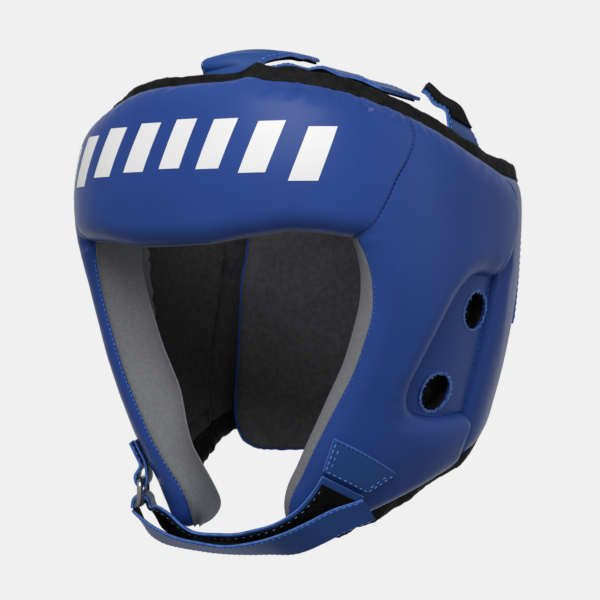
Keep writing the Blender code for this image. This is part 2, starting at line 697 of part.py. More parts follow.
def crown_straps():
    left = crown_strap(
        "crown_strap_left",
        strap_root(106) + [(79, 29, 81), (72, 28, 91.5), (64, 26, 99), (56, 24, 105)],
        strap_root(84) + [(82, -1, 85.5), (77.5, 0, 90.5), (71, 2, 95.5), (65, 4, 100)],
        "crown_loop_patch_left", (8, 19), above=True)
    right = crown_strap(
        "crown_strap_right",
        strap_root(-78) + [(-77, -11, 93), (-58, -12, 106), (-30, -12, 113.5), (0, -12, 114), (28, -12, 109),
                           (50, -10, 101)],
        strap_root(-106) + [(-77, 27, 85), (-60, 27, 101), (-32, 27, 111.5), (0, 28, 113), (28, 28, 107.5),
                            (51, 28, 98.5)],
        "crown_hook_patch_right", (12, 19), above=False)
    front = crown_strap(
        "crown_strap_front",
        strap_root(15) + [(23, -70, 108.5), (29, -60, 112), (31, -47, 113), (31, -34, 112)],
        strap_root(-4) + [(-6, -77, 109), (-5, -66, 112.5), (-3, -51, 114.5), (-1, -34, 113.5)],
        "crown_hook_patch_front", (11, 19), above=False)
    lift_hinge("crown_lift_left", 84, 106, left)
    lift_hinge("crown_lift_right", -106, -78, right)
    lift_hinge("crown_lift_front", -4, 15, front)


def add_ring(name, rings, look):
    """A closed ring through a loop of rings of points."""
    count, size = rings.shape[:2]
    faces = []
    for ring in range(count):
        for corner in range(size):
            following = (corner + 1) % size
            onward = (ring + 1) % count
            faces.append((ring * size + corner, ring * size + following,
                          onward * size + following, onward * size + corner))
    return add_object(name, list(rings.reshape(-1, 3)), faces, look)


for existing in list(bpy.data.objects):
    bpy.data.objects.remove(existing, do_unlink=True)

forehead().build("", "forehead")
for side, label in ((1, "left"), (-1, "right")):
    side_pad(side).build("_" + label, "side")
    ear_pieces(side, label)
    jaw_binding(side, label)
    wing_panel = wing(side)
    wing_pieces = list(wing_panel.build("_" + label, "wing"))
    wing_pieces.append(wing_binding(side, label, wing_panel, 0, True))
    wing_pieces.append(wing_binding(side, label, wing_panel, -1, False))
back_pad().build("", "back_pad")
crown_binding()
root, rear_strap = rear_closure()
wing_hinge = hinge("right_wing_hinge", on_form(-FLEX_ANGLE, 0, WING_OUTER + GAP + 2.2), wing_pieces + [root])
strap_hinge = hinge("rear_strap_hinge", on_form(-155.85, sum(REAR_STRAP_HEIGHTS) / 2, WING_OUTER + GAP + REAR_STRAP),
                    rear_strap)
strap_hinge.parent = wing_hinge
strap_hinge.matrix_parent_inverse = wing_hinge.matrix_world.inverted()
chin_strap()
hinge("chin_tail_hinge", at_bar(*TAIL_PIVOT, 0), [chin_tail()], BAR_ALONG)
chin_ring()
ring_tab()
crown_straps()
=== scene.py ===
"""Looks of the boxing headgear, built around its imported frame.

Outlines are written as (angle, height): degrees from the front towards the wearer's left, and millimetres.
Depths are millimetres outwards from the middle of the padding, as in the CAD.
"""

import math

import bmesh
import bpy
import numpy as np
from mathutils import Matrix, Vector


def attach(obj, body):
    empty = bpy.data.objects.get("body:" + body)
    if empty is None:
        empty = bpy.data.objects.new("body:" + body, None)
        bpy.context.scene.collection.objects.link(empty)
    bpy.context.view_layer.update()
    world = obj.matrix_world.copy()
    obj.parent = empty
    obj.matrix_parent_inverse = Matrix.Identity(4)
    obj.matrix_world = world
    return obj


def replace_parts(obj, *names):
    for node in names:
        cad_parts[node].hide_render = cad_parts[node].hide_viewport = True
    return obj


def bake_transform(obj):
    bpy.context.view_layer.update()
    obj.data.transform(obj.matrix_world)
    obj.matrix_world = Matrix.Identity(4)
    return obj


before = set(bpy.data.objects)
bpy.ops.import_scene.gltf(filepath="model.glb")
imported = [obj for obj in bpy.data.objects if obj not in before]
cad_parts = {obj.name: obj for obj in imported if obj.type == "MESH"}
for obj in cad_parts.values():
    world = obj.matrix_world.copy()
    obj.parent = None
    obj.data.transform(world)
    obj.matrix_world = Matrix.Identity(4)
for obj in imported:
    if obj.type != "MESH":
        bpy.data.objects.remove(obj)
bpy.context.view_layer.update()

MM = 0.001
PAD = 11.0                  # half the thickness of the padding
LEATHER = 1.6
SUEDE = 1.3
SEAM = 3.0                  # half the thickness under a binding
FREE_EDGE = 0.35            # half the thickness at a free edge
EDGE_ROUND = 11.0           # how far from a free edge the outer face curves
INNER_ROUND = 17.0          # the same for the lining
PILLOW = 16.5               # how far the lining swells inwards along the face opening
HEM_ROUND = 15.0
EAR_DEPTH = 2.5
HOLE_RADIUS = 9.5
HOLE_WIDER = 23.5 / 19.0
WING_OUTER = 8.5
BACK_OUTER = -2.0
BACK_INNER = -14.0
BACK_CROWN = 8.5
STRAP = 2.2
FLEX_ANGLE = 102.5
WING_REAR = 156.0
REAR_CORNER = 104.0         # from this angle on the wings' hems bend towards each other
BROW_END = 42.5
AROUND = 88.0               # millimetres per radian round the head, for measures along a hem
CAMERA_AZIMUTH = math.radians(32)
CAMERA_DISTANCE = 1.0
CAMERA_SHIFT = -0.000985

SECTIONS = np.array([
    (-130, 37, 46, 52, 0, 2.2), (-110, 48, 57, 62, 1, 2.2), (-90, 60, 67, 74, 2, 2.2),
    (-70, 71, 77, 88, 3, 2.2), (-45, 79, 85, 95, 4, 2.2), (-15, 86, 93, 100, 5, 2.3),
    (20, 91, 99, 103, 5, 2.5), (55, 92, 101, 103, 5, 2.6), (80, 88, 97, 99, 5, 2.5),
    (100, 81, 90, 92, 5, 2.4), (120, 71, 80, 82, 5, 2.3),
], float)
BACK_ROUNDNESS = 2.2

RIM_LEFT = [(0, 97), (16, 97), (29, 95.5), (42, 91), (58, 82), (70, 75), (82, 68.5), (100, 61),
            (124, 57), (150, 54), (180, 53)]
RIM_RIGHT = [(0, 97), (12, 95.7), (22, 92.6), (35, 86.5), (48, 82), (60, 78), (70, 73.5), (82, 68.5),
             (100, 61), (124, 57), (150, 54), (180, 53)]
BROW = [(-43, 28), (-35, 28), (-27, 27.3), (-15, 24.6), (-5, 24.8), (7, 25.6), (17, 28.2), (28, 30.8),
        (35, 30.2), (43, 28)]
JAW_LEFT = [(44, -104), (57, -97), (72, -90), (88, -83), (102, -76.5), (113, -71.5), (124, -65), (148, -56)]
JAW_RIGHT = [(44, -103), (57, -94), (72, -84), (88, -74), (102, -67), (113, -61), (124, -56), (148, -48)]
SIDE_STATIONS = [
    ((57.0, None), (100.5, None)), ((57.2, 76), (104, 56.5)), ((57.0, 70), (108, 51.5)),
    ((54.5, 61), (111.5, 45)), ((51.2, 52), (112, 37.5)), ((48.7, 43), (110, 29)),
    ((46.0, 34.5), (105.5, 19)), ((43.4, 28.6), (99, 11.8)), ((44.9, 21), (90.5, 12.4)),
    ((46.4, 11), (82.5, 9.5)), ((46.7, -2), (76, 1)), ((45.3, -15), (71, -13)),
    ((42.9, -30), (66.7, -27)), ((39.7, -42), (63.6, -40)), ((36.2, -54), (66, -49.5)),
    ((33.4, -63), (76, -53.8)), ((31.2, -70), (90, -54)), ((29.0, -77), (FLEX_ANGLE, -54)),
    ((27.0, -82), (FLEX_ANGLE, -65)), ((25.5, -86.5), (FLEX_ANGLE, "jaw")), ((24.4, -91.5), (88, "jaw")),
    ((24.2, -97), (72, "jaw")), ((25.6, -102.5), (57, "jaw")), ((29.0, -107), (44, "jaw")),
]
FINE = 6                    # rows between two stations
FIRST_OPEN, RECESS_END, FIRST_JAW = 7 * FINE, 17 * FINE, 19 * FINE
WING_FINE = 7
ACROSS_FINE = 7             # columns between two coarse ones
EAR_COLUMNS = 46
WING_RECESS, WING_RECESS_END = 6 * WING_FINE, 11 * WING_FINE + 1
EAR_HOLES = [(93.5, -4.7), (78.5, -42.5)]
BACK_PAD_EDGE = [(128, 47), (127.5, 38), (126.5, 24), (124, 7), (122, -17), (119.5, -38), (117, -53),
                 (116, -66), (118, -76), (124, -81)]
BACK_PAD_BOTTOM = -83.0
RIGHT_CHEEK_SLIMMER = [(-103, 1.5), (-95, 4), (-85, 5.4), (-70, 5.6), (-60, 4.5), (-45, 3), (-25, 2), (10, 1.8),
                       (20, 1), (30, 0)]
# Heights and angles where the thick part of a cheek pad ends on the inside, and the depth behind it.
CREASE = [(-107, 78), (-65, 70), (-55, 69), (-45, 68), (-30, 70), (-12, 72), (0, 73), (28, 75), (45, 79), (80, 90)]
EAR_INNER = -5.6
# Rear edge of the raised part of the lining, as heights and angles.
RAISED_EDGE = [(-54, 103.5), (-45, 104.7), (-17, 111), (7, 116), (24, 118), (60, 118)]
# How far the binding tapes reach from their edge, by angle.
CROWN_REACH = [(-160, 8.2), (-70, 9.0), (-48, 9.2), (-27, 8.2), (-16, 6.6), (-8, 5.6), (10, 5.0), (13.5, 5.2),
               (17, 8.4), (60, 8.8), (104, 8.8), (160, 7.6)]
JAW_REACH = [(46, 8.2), (58, 10.8), (72, 12.6), (96, 12.6), (115, 10.2), (160, 8.2)]


# ---------------------------------------------------------------- the head form

def section(height, column):
    heights = SECTIONS[:, 0]
    values = SECTIONS[:, column]
    height = np.clip(height, heights[0], heights[-1])
    slopes = np.gradient(values, heights)
    low = np.clip(np.searchsorted(heights, height, side="right") - 1, 0, len(heights) - 2)
    step = heights[low + 1] - heights[low]
    t = (height - heights[low]) / step
    return ((2 * t**3 - 3 * t**2 + 1) * values[low] + (t**3 - 2 * t**2 + t) * step * slopes[low]
            + (3 * t**2 - 2 * t**3) * values[low + 1] + (t**3 - t**2) * step * slopes[low + 1])


def middle(angle, height):
    """A point of the middle of the padding."""
    angle, height = np.broadcast_arrays(np.radians(np.asarray(angle, float)), np.asarray(height, float))
    sine, cosine = np.sin(angle), np.cos(angle)
    front = cosine > 0
    depth = np.where(front, section(height, 2), section(height, 3))
    power = np.where(front, section(height, 5), BACK_ROUNDNESS)
    radius = ((np.abs(sine) / section(height, 1)) ** power + (np.abs(cosine) / depth) ** power) ** (-1 / power)
    return np.stack([radius * sine, section(height, 4) - radius * cosine, height], -1)


def unit(vectors):
    return vectors / np.linalg.norm(vectors, axis=-1, keepdims=True)


def outward(angle, height):
    angle = np.asarray(angle, float)
    around = middle(angle + 0.06, height) - middle(angle - 0.06, height)
    up = middle(angle, np.asarray(height) + 0.2) - middle(angle, np.asarray(height) - 0.2)
    return unit(np.cross(around, up))


def on_form(angle, height, depth=0.0):
    return middle(angle, height) + np.asarray(depth, float)[..., None] * outward(angle, height)


def along(table, place):
    """The table's second value where its first is the place."""
    places, values = zip(*table)
    return np.interp(place, places, values)


def rim(angle):
    """Height of the top hem, with its corners eased."""
    angle = np.asarray(angle, float)
    heights = 0
    for step in (-3, -1.5, 0, 1.5, 3):
        turned = angle + step
        heights = heights + np.where(turned >= 0, along(RIM_LEFT, np.abs(turned)), along(RIM_RIGHT, np.abs(turned)))
    return heights / 5 + 1.8 * np.exp(-(((angle - 16.5) / 3.5) ** 2)) + 1.4 * np.exp(-(((angle + 20) / 10) ** 2))


def distance_to(points, outline):
    best = np.full(points.shape[:-1], np.inf)
    for start, end in zip(outline[:-1], outline[1:]):
        run = end - start
        t = np.clip(((points - start) @ run) / max(run @ run, 1e-9), 0, 1)
        best = np.minimum(best, np.linalg.norm(points - start - t[..., None] * run, axis=-1))
    return best


def once_round(grid):
    """The border of a grid, each entry once."""
    return np.concatenate([grid[0, :-1], grid[:-1, -1], grid[-1, :0:-1], grid[:0:-1, 0]])


def to_border(flat):
    """How far each point of a grid lies from its border."""
    ring = once_round(flat)
    return distance_to(flat, np.concatenate([ring, ring[:1]]))


def rounded(full, edge, distance, radius):
    t = 1 - np.clip(distance / radius, 0, 1)
    return edge + (full - edge) * np.sqrt(1 - t**2)


def spline(values, count, axis=0):
    """Samples of the smooth curve through the values along one axis, evenly spaced by number."""
    v = np.moveaxis(np.asarray(values, float), axis, 0)
    v = np.concatenate([[2 * v[0] - v[1]], v, [2 * v[-1] - v[-2]]])
    place = np.linspace(0, len(v) - 3, count)
    k = np.minimum(place.astype(int), len(v) - 4)
    t = (place - k).reshape((-1,) + (1,) * (v.ndim - 1))
    a, b, c, d = v[k], v[k + 1], v[k + 2], v[k + 3]
    made = 0.5 * (2 * b + (c - a) * t + (2 * a - 5 * b + 4 * c - d) * t**2 + (3 * b - a - 3 * c + d) * t**3)
    return np.moveaxis(made, 0, axis)


def ripple(place, wavelength, seed):
    """Irregular waves of about unit height along a measure in millimetres."""
    draw = np.random.default_rng(seed)
    total = np.zeros(np.shape(place))
    for _ in range(7):
        stretch = draw.uniform(0.6, 1.7)
        total = total + np.sin(np.asarray(place) * 2 * math.pi / (wavelength * stretch) + draw.uniform(0, 6.28))
    return total / 2.6


def smooth_step(t):
    t = np.clip(t, 0, 1)
    return t * t * (3 - 2 * t)


# ---------------------------------------------------------------- materials

def new_material(name, roughness, **sockets):
    made = bpy.data.materials.new(name)
    made.use_nodes = True
    shader = made.node_tree.nodes["Principled BSDF"]
    shader.inputs["Roughness"].default_value = roughness
    for socket, value in sockets.items():
        shader.inputs[socket.replace("_", " ")].default_value = value
    return made, made.node_tree, shader


def noise_node(tree, scale, detail=3.0, kind="ShaderNodeTexNoise"):
    coordinates = tree.nodes.new("ShaderNodeTexCoord")
    texture = tree.nodes.new(kind)
    texture.inputs["Scale"].default_value = scale
    if kind == "ShaderNodeTexNoise":
        texture.inputs["Detail"].default_value = detail
    tree.links.new(coordinates.outputs["Object"], texture.inputs["Vector"])
    return texture.outputs[0]


def mottled(tree, shader, dark, light, scale, detail=3.0, spread=(0.35, 0.65)):
    """The colour wanders between two shades."""
    ramp = tree.nodes.new("ShaderNodeValToRGB")
    ramp.color_ramp.elements[0].position, ramp.color_ramp.elements[1].position = spread
    ramp.color_ramp.elements[0].color = (*dark, 1)
    ramp.color_ramp.elements[1].color = (*light, 1)
    tree.links.new(noise_node(tree, scale, detail), ramp.inputs["Fac"])
    tree.links.new(ramp.outputs["Color"], shader.inputs["Base Color"])


def bumps(tree, shader, *layers):
    """Stacks bump layers of (height output, strength, distance in mm)."""
    last = None
    for height, strength, distance in layers:
        bump = tree.nodes.new("ShaderNodeBump")
        bump.inputs["Strength"].default_value = strength
        bump.inputs["Distance"].default_value = distance * MM
        tree.links.new(height, bump.inputs["Height"])
        if last:
            tree.links.new(last.outputs["Normal"], bump.inputs["Normal"])
        last = bump
    tree.links.new(last.outputs["Normal"], shader.inputs["Normal"])


def leather(name, dark, light, roughness):
    made, tree, shader = new_material(name, roughness, Specular_IOR_Level=0.16)
    mottled(tree, shader, dark, light, 14.0, 4.0)
    bumps(tree, shader,
          (noise_node(tree, 45.0, 2.0), 0.25, 0.6),
          (noise_node(tree, 900.0, kind="ShaderNodeTexVoronoi"), 0.22, 0.10),
          (noise_node(tree, 1900.0, 2.0), 0.2, 0.05))
    return made


def cloth(name, dark, light, scale, strength, roughness=0.95, sheen=0.08):
    made, tree, shader = new_material(name, roughness, Sheen_Weight=sheen, Sheen_Roughness=0.6,
                                      Specular_IOR_Level=0.08)
    mottled(tree, shader, dark, light, scale, 5.0)
    bumps(tree, shader, (noise_node(tree, 60.0, 3.0), 0.3, 0.6), (noise_node(tree, 1100.0, 4.0), strength, 0.35))
    return made


BLUE = leather("blue_leather", (0.022, 0.060, 0.255), (0.027, 0.074, 0.305), 0.38)
STRAP_BLUE = leather("strap_leather", (0.017, 0.060, 0.235), (0.028, 0.084, 0.30), 0.5)
RAW_EDGE = cloth("raw_blue_edge", (0.045, 0.125, 0.42), (0.09, 0.21, 0.58), 300.0, 0.6)
FRAY = cloth("blue_fray", (0.12, 0.28, 0.72), (0.30, 0.50, 0.90), 300.0, 0.6)
SUEDE_GREY = cloth("grey_suede", (0.178, 0.181, 0.196), (0.212, 0.215, 0.231), 700.0, 0.6)
# Painted shade: a darker copy of the grey suede for the linings deep inside, the forehead's and the back pad's, not a
# different fabric.
SUEDE_PAINTED_SHADE = cloth("grey_suede_painted_shade", (0.060, 0.060, 0.065), (0.085, 0.085, 0.091), 350.0, 0.55)
# Painted deep shade: the darkest copy of the grey suede, for linings that lie in deep shade inside the headgear.
SUEDE_PAINTED_DEEP_SHADE = cloth("suede_painted_deep_shade", (0.030, 0.030, 0.033), (0.044, 0.044, 0.048), 350.0, 0.55)
SEAM_THREAD = cloth("mid_blue_thread", (0.05, 0.12, 0.42), (0.09, 0.20, 0.60), 500.0, 0.3, 0.7)
TAPE_BLACK = cloth("black_binding", (0.006, 0.006, 0.006), (0.014, 0.014, 0.013), 240.0, 0.5, 0.62, 0.0)
LOOP_BLACK = cloth("black_loop", (0.002, 0.002, 0.002), (0.010, 0.010, 0.010), 900.0, 1.0, 1.0, 0.0)
FOAM_DARK = cloth("dark_foam", (0.006, 0.006, 0.007), (0.016, 0.016, 0.018), 500.0, 0.9, 1.0, 0.0)
THREAD = cloth("light_blue_thread", (0.10, 0.25, 0.72), (0.20, 0.42, 0.95), 500.0, 0.3, 0.7)
DARK_THREAD = cloth("navy_thread", (0.010, 0.018, 0.075), (0.018, 0.03, 0.12), 500.0, 0.3, 0.7)
BLACK_THREAD = cloth("black_thread", (0.02, 0.02, 0.02), (0.04, 0.04, 0.04), 500.0, 0.3, 0.7)
STRAP_LOOKS = [STRAP_BLUE, STRAP_BLUE, RAW_EDGE]
PRINT = leather("white_print", (0.86, 0.86, 0.86), (0.9, 0.9, 0.9), 0.42)


def steel():
    made, tree, shader = new_material("brushed_steel", 0.34, Metallic=1.0)
    mottled(tree, shader, (0.42, 0.42, 0.43), (0.6, 0.6, 0.61), 200.0)
    bumps(tree, shader, (noise_node(tree, 700.0, 2.0), 0.2, 0.1))
    return made


STEEL = steel()


# ---------------------------------------------------------------- making pieces

def add_piece(name, points, faces, materials, slots=None, body="shell", finish="blue_leather"):
    """A closed mesh from points in millimetres, riding on a body."""
    mesh = bpy.data.meshes.new(name)
    mesh.from_pydata((np.asarray(points, float) * MM).tolist(), [], faces)
    for look in materials:
        mesh.materials.append(look)
    if slots is not None:
        mesh.polygons.foreach_set("material_index", slots)
    work = bmesh.new()
    work.from_mesh(mesh)
    bmesh.ops.recalc_face_normals(work, faces=work.faces)
    work.to_mesh(mesh)
    work.free()
    mesh.shade_smooth()
    mesh.set_sharp_from_angle(angle=math.radians(35))
    piece = bpy.data.objects.new(name, mesh)
    bpy.context.scene.collection.objects.link(piece)
    if body == "bend":
        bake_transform(piece)
    else:
        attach(piece, body)
    return piece


def slab(name, outer, inner, looks, **options):
    """A closed sheet between two grids of points. looks: outer face, inner face, edges."""
    rows, columns = outer.shape[:2]
    points = np.concatenate([outer.reshape(-1, 3), inner.reshape(-1, 3)])
    below = rows * columns
    index = np.arange(below).reshape(rows, columns)
    a, b, c, d = index[:-1, :-1], index[:-1, 1:], index[1:, 1:], index[1:, :-1]
    top = np.stack([a, b, c, d], -1).reshape(-1, 4)
    bottom = top[:, ::-1] + below
    border = once_round(index)
    onward = np.roll(border, -1)
    wall = np.stack([onward, border, border + below, onward + below], -1)
    faces = np.concatenate([top, bottom, wall]).tolist()
    slots = [0] * len(top) + [1] * len(bottom) + [2] * len(wall)
    if len(looks) == 1:
        looks = looks * 3
    return add_piece(name, points, faces, looks, slots, **options)


def sweep(name, rings, looks, **options):
    """A closed bar through rings of points, with flat ends."""
    count, size = rings.shape[:2]
    index = np.arange(count * size).reshape(count, size)
    nxt = np.roll(index, -1, axis=1)
    faces = np.stack([index[:-1], nxt[:-1], nxt[1:], index[1:]], -1).reshape(-1, 4).tolist()
    faces += [index[0, ::-1].tolist(), index[-1].tolist()]
    return add_piece(name, rings.reshape(-1, 3), faces, looks, **options)


def loop(name, rings, looks, **options):
    """A closed ring through a loop of rings of points."""
    count, size = rings.shape[:2]
    index = np.arange(count * size).reshape(count, size)
    beside = np.roll(index, -1, axis=1)
    ahead = np.roll(index, -1, axis=0)
    both = np.roll(beside, -1, axis=0)
    faces = np.stack([index, beside, both, ahead], -1).reshape(-1, 4).tolist()
    return add_piece(name, rings.reshape(-1, 3), faces, looks, **options)


def stitches(name, path, normals, look, length=2.1, gap=1.3, radius=0.3, sink=0.1, **options):
    """A row of short threads lying along a path on a surface."""
    path, normals = np.asarray(path, float), np.asarray(normals, float)
    steps = np.linalg.norm(np.diff(path, axis=0), axis=1)
    reach = np.concatenate([[0], np.cumsum(steps)])
    count = max(int(reach[-1] / (length + gap)), 1)
    points, faces = [], []
    profile = [(-0.5, 0.45, -0.9), (-0.34, 0.95, 0.1), (0, 1.0, 0.35), (0.34, 0.95, 0.1), (0.5, 0.45, -0.9)]
    for number in range(count):
        centre = (number + 0.5) * reach[-1] / count
        ends = [np.array([np.interp(centre + shift, reach, path[:, k]) for k in range(3)])
                for shift in (-length / 2, 0, length / 2)]
        up = np.array([np.interp(centre, reach, normals[:, k]) for k in range(3)])
        tangent = unit(ends[2] - ends[0])
        up = unit(up - tangent * (up @ tangent))
        side = np.cross(tangent, up)
        first = len(points)
        for place, thick, lift in profile:
            here = ends[1] + tangent * place * length + up * (lift * radius + radius * 0.5 - sink)
            for turn in range(6):
                angle = turn * math.pi / 3
                points.append(here + radius * thick * (math.cos(angle) * side + 0.75 * math.sin(angle) * up))
        for ring in range(4):
            for turn in range(6):
                onward = (turn + 1) % 6
                faces.append((first + ring * 6 + turn, first + ring * 6 + onward,
                              first + ring * 6 + 6 + onward, first + ring * 6 + 6 + turn))
        faces += [tuple(range(first + 5, first - 1, -1)), tuple(range(first + 24, first + 30))]
    return add_piece(name, points, faces, [look], **options)


def form_stitches(name, angles, heights, depth, look, **options):
    angles, heights = np.asarray(angles, float), np.asarray(heights, float)
    depth = np.broadcast_to(np.asarray(depth, float), angles.shape)
    return stitches(name, on_form(angles, heights, depth), outward(angles, heights), look, **options)


class Pad:
    """A padded panel over a fine grid, made as a leather cover and a suede lining."""

    def __init__(self, side, grid, outer, inner):
        self.angles = side * grid[..., 0]
        self.heights = grid[..., 1]
        self.outer = outer
        self.inner = inner
        self.behind = None  # where a lining lies behind its crease, which gets painted deep shade: the darker suede copy

    def cover(self, name, nodes, body="shell", fill=0.7):
        centre = (self.outer + self.inner) / 2
        under = np.maximum(self.outer - LEATHER, centre + 0.04)
        piece = slab(name, on_form(self.angles, self.heights, self.outer),
                     on_form(self.angles, self.heights, under), [BLUE, FOAM_DARK, BLUE], body=body)
        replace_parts(piece, *nodes)
        return piece

    def lining(self, name, nodes, body="shell", fill=0.7, look=SUEDE_GREY):
        centre = (self.outer + self.inner) / 2
        over = np.minimum(self.inner + SUEDE, centre - 0.04)
        piece = slab(name, on_form(self.angles, self.heights, over),
                     on_form(self.angles, self.heights, self.inner), [FOAM_DARK, look, look],
                     body=body, finish="grey_suede")
        # Past the crease the lining's inner faces switch to the darker suede copy, as painted deep shade.
        if self.behind is not None:
            piece.data.materials.append(SUEDE_PAINTED_DEEP_SHADE)
            shaded = self.behind[:-1, :-1].reshape(-1)
            slots = np.empty(len(piece.data.polygons), np.int32)
            piece.data.polygons.foreach_get("material_index", slots)
            slots[len(shaded):2 * len(shaded)][shaded] = 3
            piece.data.polygons.foreach_set("material_index", slots)
        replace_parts(piece, *nodes)
        return piece

    def outer_path(self, rows, column, lift=0.0):
        return self.angles[rows, column], self.heights[rows, column], self.outer[rows, column] + lift


# ---------------------------------------------------------------- panels

def jaw_height(angle, side):
    return along(JAW_LEFT if side > 0 else JAW_RIGHT, angle)


def station_points(side):
    ends = []
    for row in SIDE_STATIONS:
        ends.append([])
        for angle, height in row:
            if height is None:
                height = float(rim(side * angle))
            elif height == "jaw":
                height = float(jaw_height(angle, side))
            ends[-1].append((angle, height))
    return np.array(ends)


def side_grid(side):
    ends = station_points(side)
    across = np.array([0, 0.055, 0.17, 0.36, 0.58, 0.78, 0.92, 1])
    grid = ends[:, None, 0] + across[None, :, None] * (ends[:, None, 1] - ends[:, None, 0])
    bulge = 4 * across * (1 - across) * 2.5
    grid[-1, :, 1] -= bulge
    grid[-2, :, 1] -= bulge * 0.4
    top = grid[0]
    top[:, 1] = rim(side * top[:, 0])
    for row, share in ((1, 0.85), (2, 0.62), (3, 0.4), (4, 0.2)):
        straight = np.interp(top[:, 0], [top[0, 0], top[-1, 0]], [top[0, 1], top[-1, 1]])
        grid[row, :, 1] += share * (top[:, 1] - straight)
    grid = spline(spline(grid, (len(grid) - 1) * FINE + 1, 0), 7 * ACROSS_FINE + 1, 1)
    if side < 0:
        inward = smooth_step((grid[..., 1] + 60) / 75) * smooth_step((66 - grid[..., 1]) / 40)
        grid[..., 0] -= 3.4 * inward * np.linspace(1, 0, grid.shape[1]) ** 2
    return grid


def face_opening(grids):
    """The edge all round the face, from one jaw corner over the brow to the other, on the middle surface."""
    sides = {side: np.concatenate([grid[FIRST_OPEN:, 0], grid[-1, 1:]]) * (side, 1)
             for side, grid in grids.items()}
    angles = np.linspace(BROW_END, -BROW_END, 90)
    brow = np.stack([angles, along(BROW, angles)], -1)
    path = np.concatenate([sides[1][::-1], brow, sides[-1]])
    return middle(path[:, 0], path[:, 1])


def top_hem():
    angles = np.linspace(-112, 112, 220)
    return middle(angles, rim(angles))


def hem_puckers(angles, heights, hem, seed):
    """Small gathers under the top binding, strongest on the wearer's left of the front."""
    share = 0.25 + 0.75 * np.exp(-((angles - 38) / 20) ** 2)
    near = np.exp(-((hem - 5) / 4.5) ** 2)
    place = np.radians(angles) * AROUND + 2.5 * np.sin(heights / 3.1 + angles / 4)
    return 0.75 * share * near * ripple(place, 6.5, seed)


def side_panel(side, grid, opening, top):
    flat = middle(grid[..., 0], grid[..., 1])
    placed = middle(side * grid[..., 0], grid[..., 1])
    free = distance_to(placed, opening)
    jaw = distance_to(flat, flat[FIRST_JAW:, -1])
    hem = distance_to(placed, top)
    recess = distance_to(flat, flat[FIRST_OPEN:RECESS_END + 1, -1])
    crease = distance_to(flat, flat[:FIRST_OPEN + 1, -1])
    flex = distance_to(flat, flat[RECESS_END:FIRST_JAW + 1, -1])
    seam = distance_to(flat, flat[:FIRST_OPEN + 1, 0])
    thick = PILLOW + (PAD - PILLOW) * smooth_step((free - 16) / 16)
    thin = 0.3 - 0.27 * smooth_step((58 - grid[..., 0]) / 10)
    tip = thin + (1 - thin) * rounded(1, 0, jaw, EDGE_ROUND)
    pillow = np.minimum(rounded(PAD, SEAM, hem, HEM_ROUND) * thick / PAD, tip * thick)
    pillow = np.minimum(pillow, rounded(1, 0.03, free, INNER_ROUND) * thick)
    outer = np.minimum(rounded(PAD, SEAM, hem, HEM_ROUND), rounded(PAD, SEAM, jaw, EDGE_ROUND))
    outer = np.minimum(outer, rounded(PAD, FREE_EDGE, free, EDGE_ROUND))
    for distance, edge, radius in ((recess, 1.6, 13), (crease, 4.5, 7), (flex, 4.0, 10)):
        outer = np.minimum(outer, rounded(PAD, edge, distance, radius))
    if side < 0:
        outer = outer * (1 - along(RIGHT_CHEEK_SLIMMER, grid[..., 1]) / PAD)
    outer = outer - 0.35 * np.exp(-(seam / 0.7) ** 2)
    outer = outer + hem_puckers(side * grid[..., 0], grid[..., 1], hem, 3)
    outer = outer + 0.18 * np.exp(-((recess - 7) / 4) ** 2) * ripple(grid[..., 1], 9, 8)
    raised = rounded(PAD, 3.4, jaw - 8, 4)
    inner = -np.where(grid[..., 0] > 62, np.minimum(pillow, raised), pillow)
    past = (grid[..., 0] - along(CREASE, grid[..., 1]) + 0.7 * ripple(grid[..., 1], 9, 33)) / 2.6
    inner = np.maximum(inner, inner + (EAR_INNER - inner) * smooth_step(past))
    gathers = np.exp(-((past + 1.2) / 1.2) ** 2) * ripple(grid[..., 1] + grid[..., 0] * 0.3, 8, 21)
    inner = inner + 0.5 * gathers
    pad = Pad(side, grid, outer, inner)
    # Lining cells well past the crease are marked for painted deep shade.
    pad.behind = past > 0.35
    return pad


def forehead_depth(angles, heights, opening, top):
    """Half the thickness of the forehead pad, and the distance from the hem."""
    flat = middle(angles, heights)
    brow = distance_to(flat, opening)
    hem = distance_to(flat, top)
    return np.minimum(rounded(PAD, FREE_EDGE, brow, EDGE_ROUND), rounded(PAD, SEAM, hem, HEM_ROUND)), hem


def forehead_panel(seams, opening, top):
    across = np.array([-1, -0.97, -0.82, -0.62, -0.42, -0.22, -0.05, 0.12, 0.28, 0.45, 0.65, 0.84, 0.97, 1])
    up = np.array([0, 0.035, 0.11, 0.22, 0.38, 0.56, 0.72, 0.84, 0.93, 0.975, 1])
    across = spline(across, 13 * 9 + 1)
    up = spline(up, 10 * 8 + 1)
    grid = np.empty((len(up), len(across), 2))
    for column, place in enumerate(across):
        seam = seams[1 if place > 0 else -1]
        level = seam[0, 1] + up * (seam[-1, 1] - seam[0, 1])
        grid[:, column, 0] = place * np.interp(level, seam[:, 1], seam[:, 0])
        bottom = along(BROW, place * 43)
        grid[:, column, 1] = bottom + up * (rim(grid[:, column, 0]) - bottom)
    half, hem = forehead_depth(grid[..., 0], grid[..., 1], opening, top)
    seam = (1 - np.abs(across)) * 75
    outer = half - 0.35 * np.exp(-(seam / 0.7) ** 2) + hem_puckers(grid[..., 0], grid[..., 1], hem, 3)
    return Pad(1, grid, outer, -half)


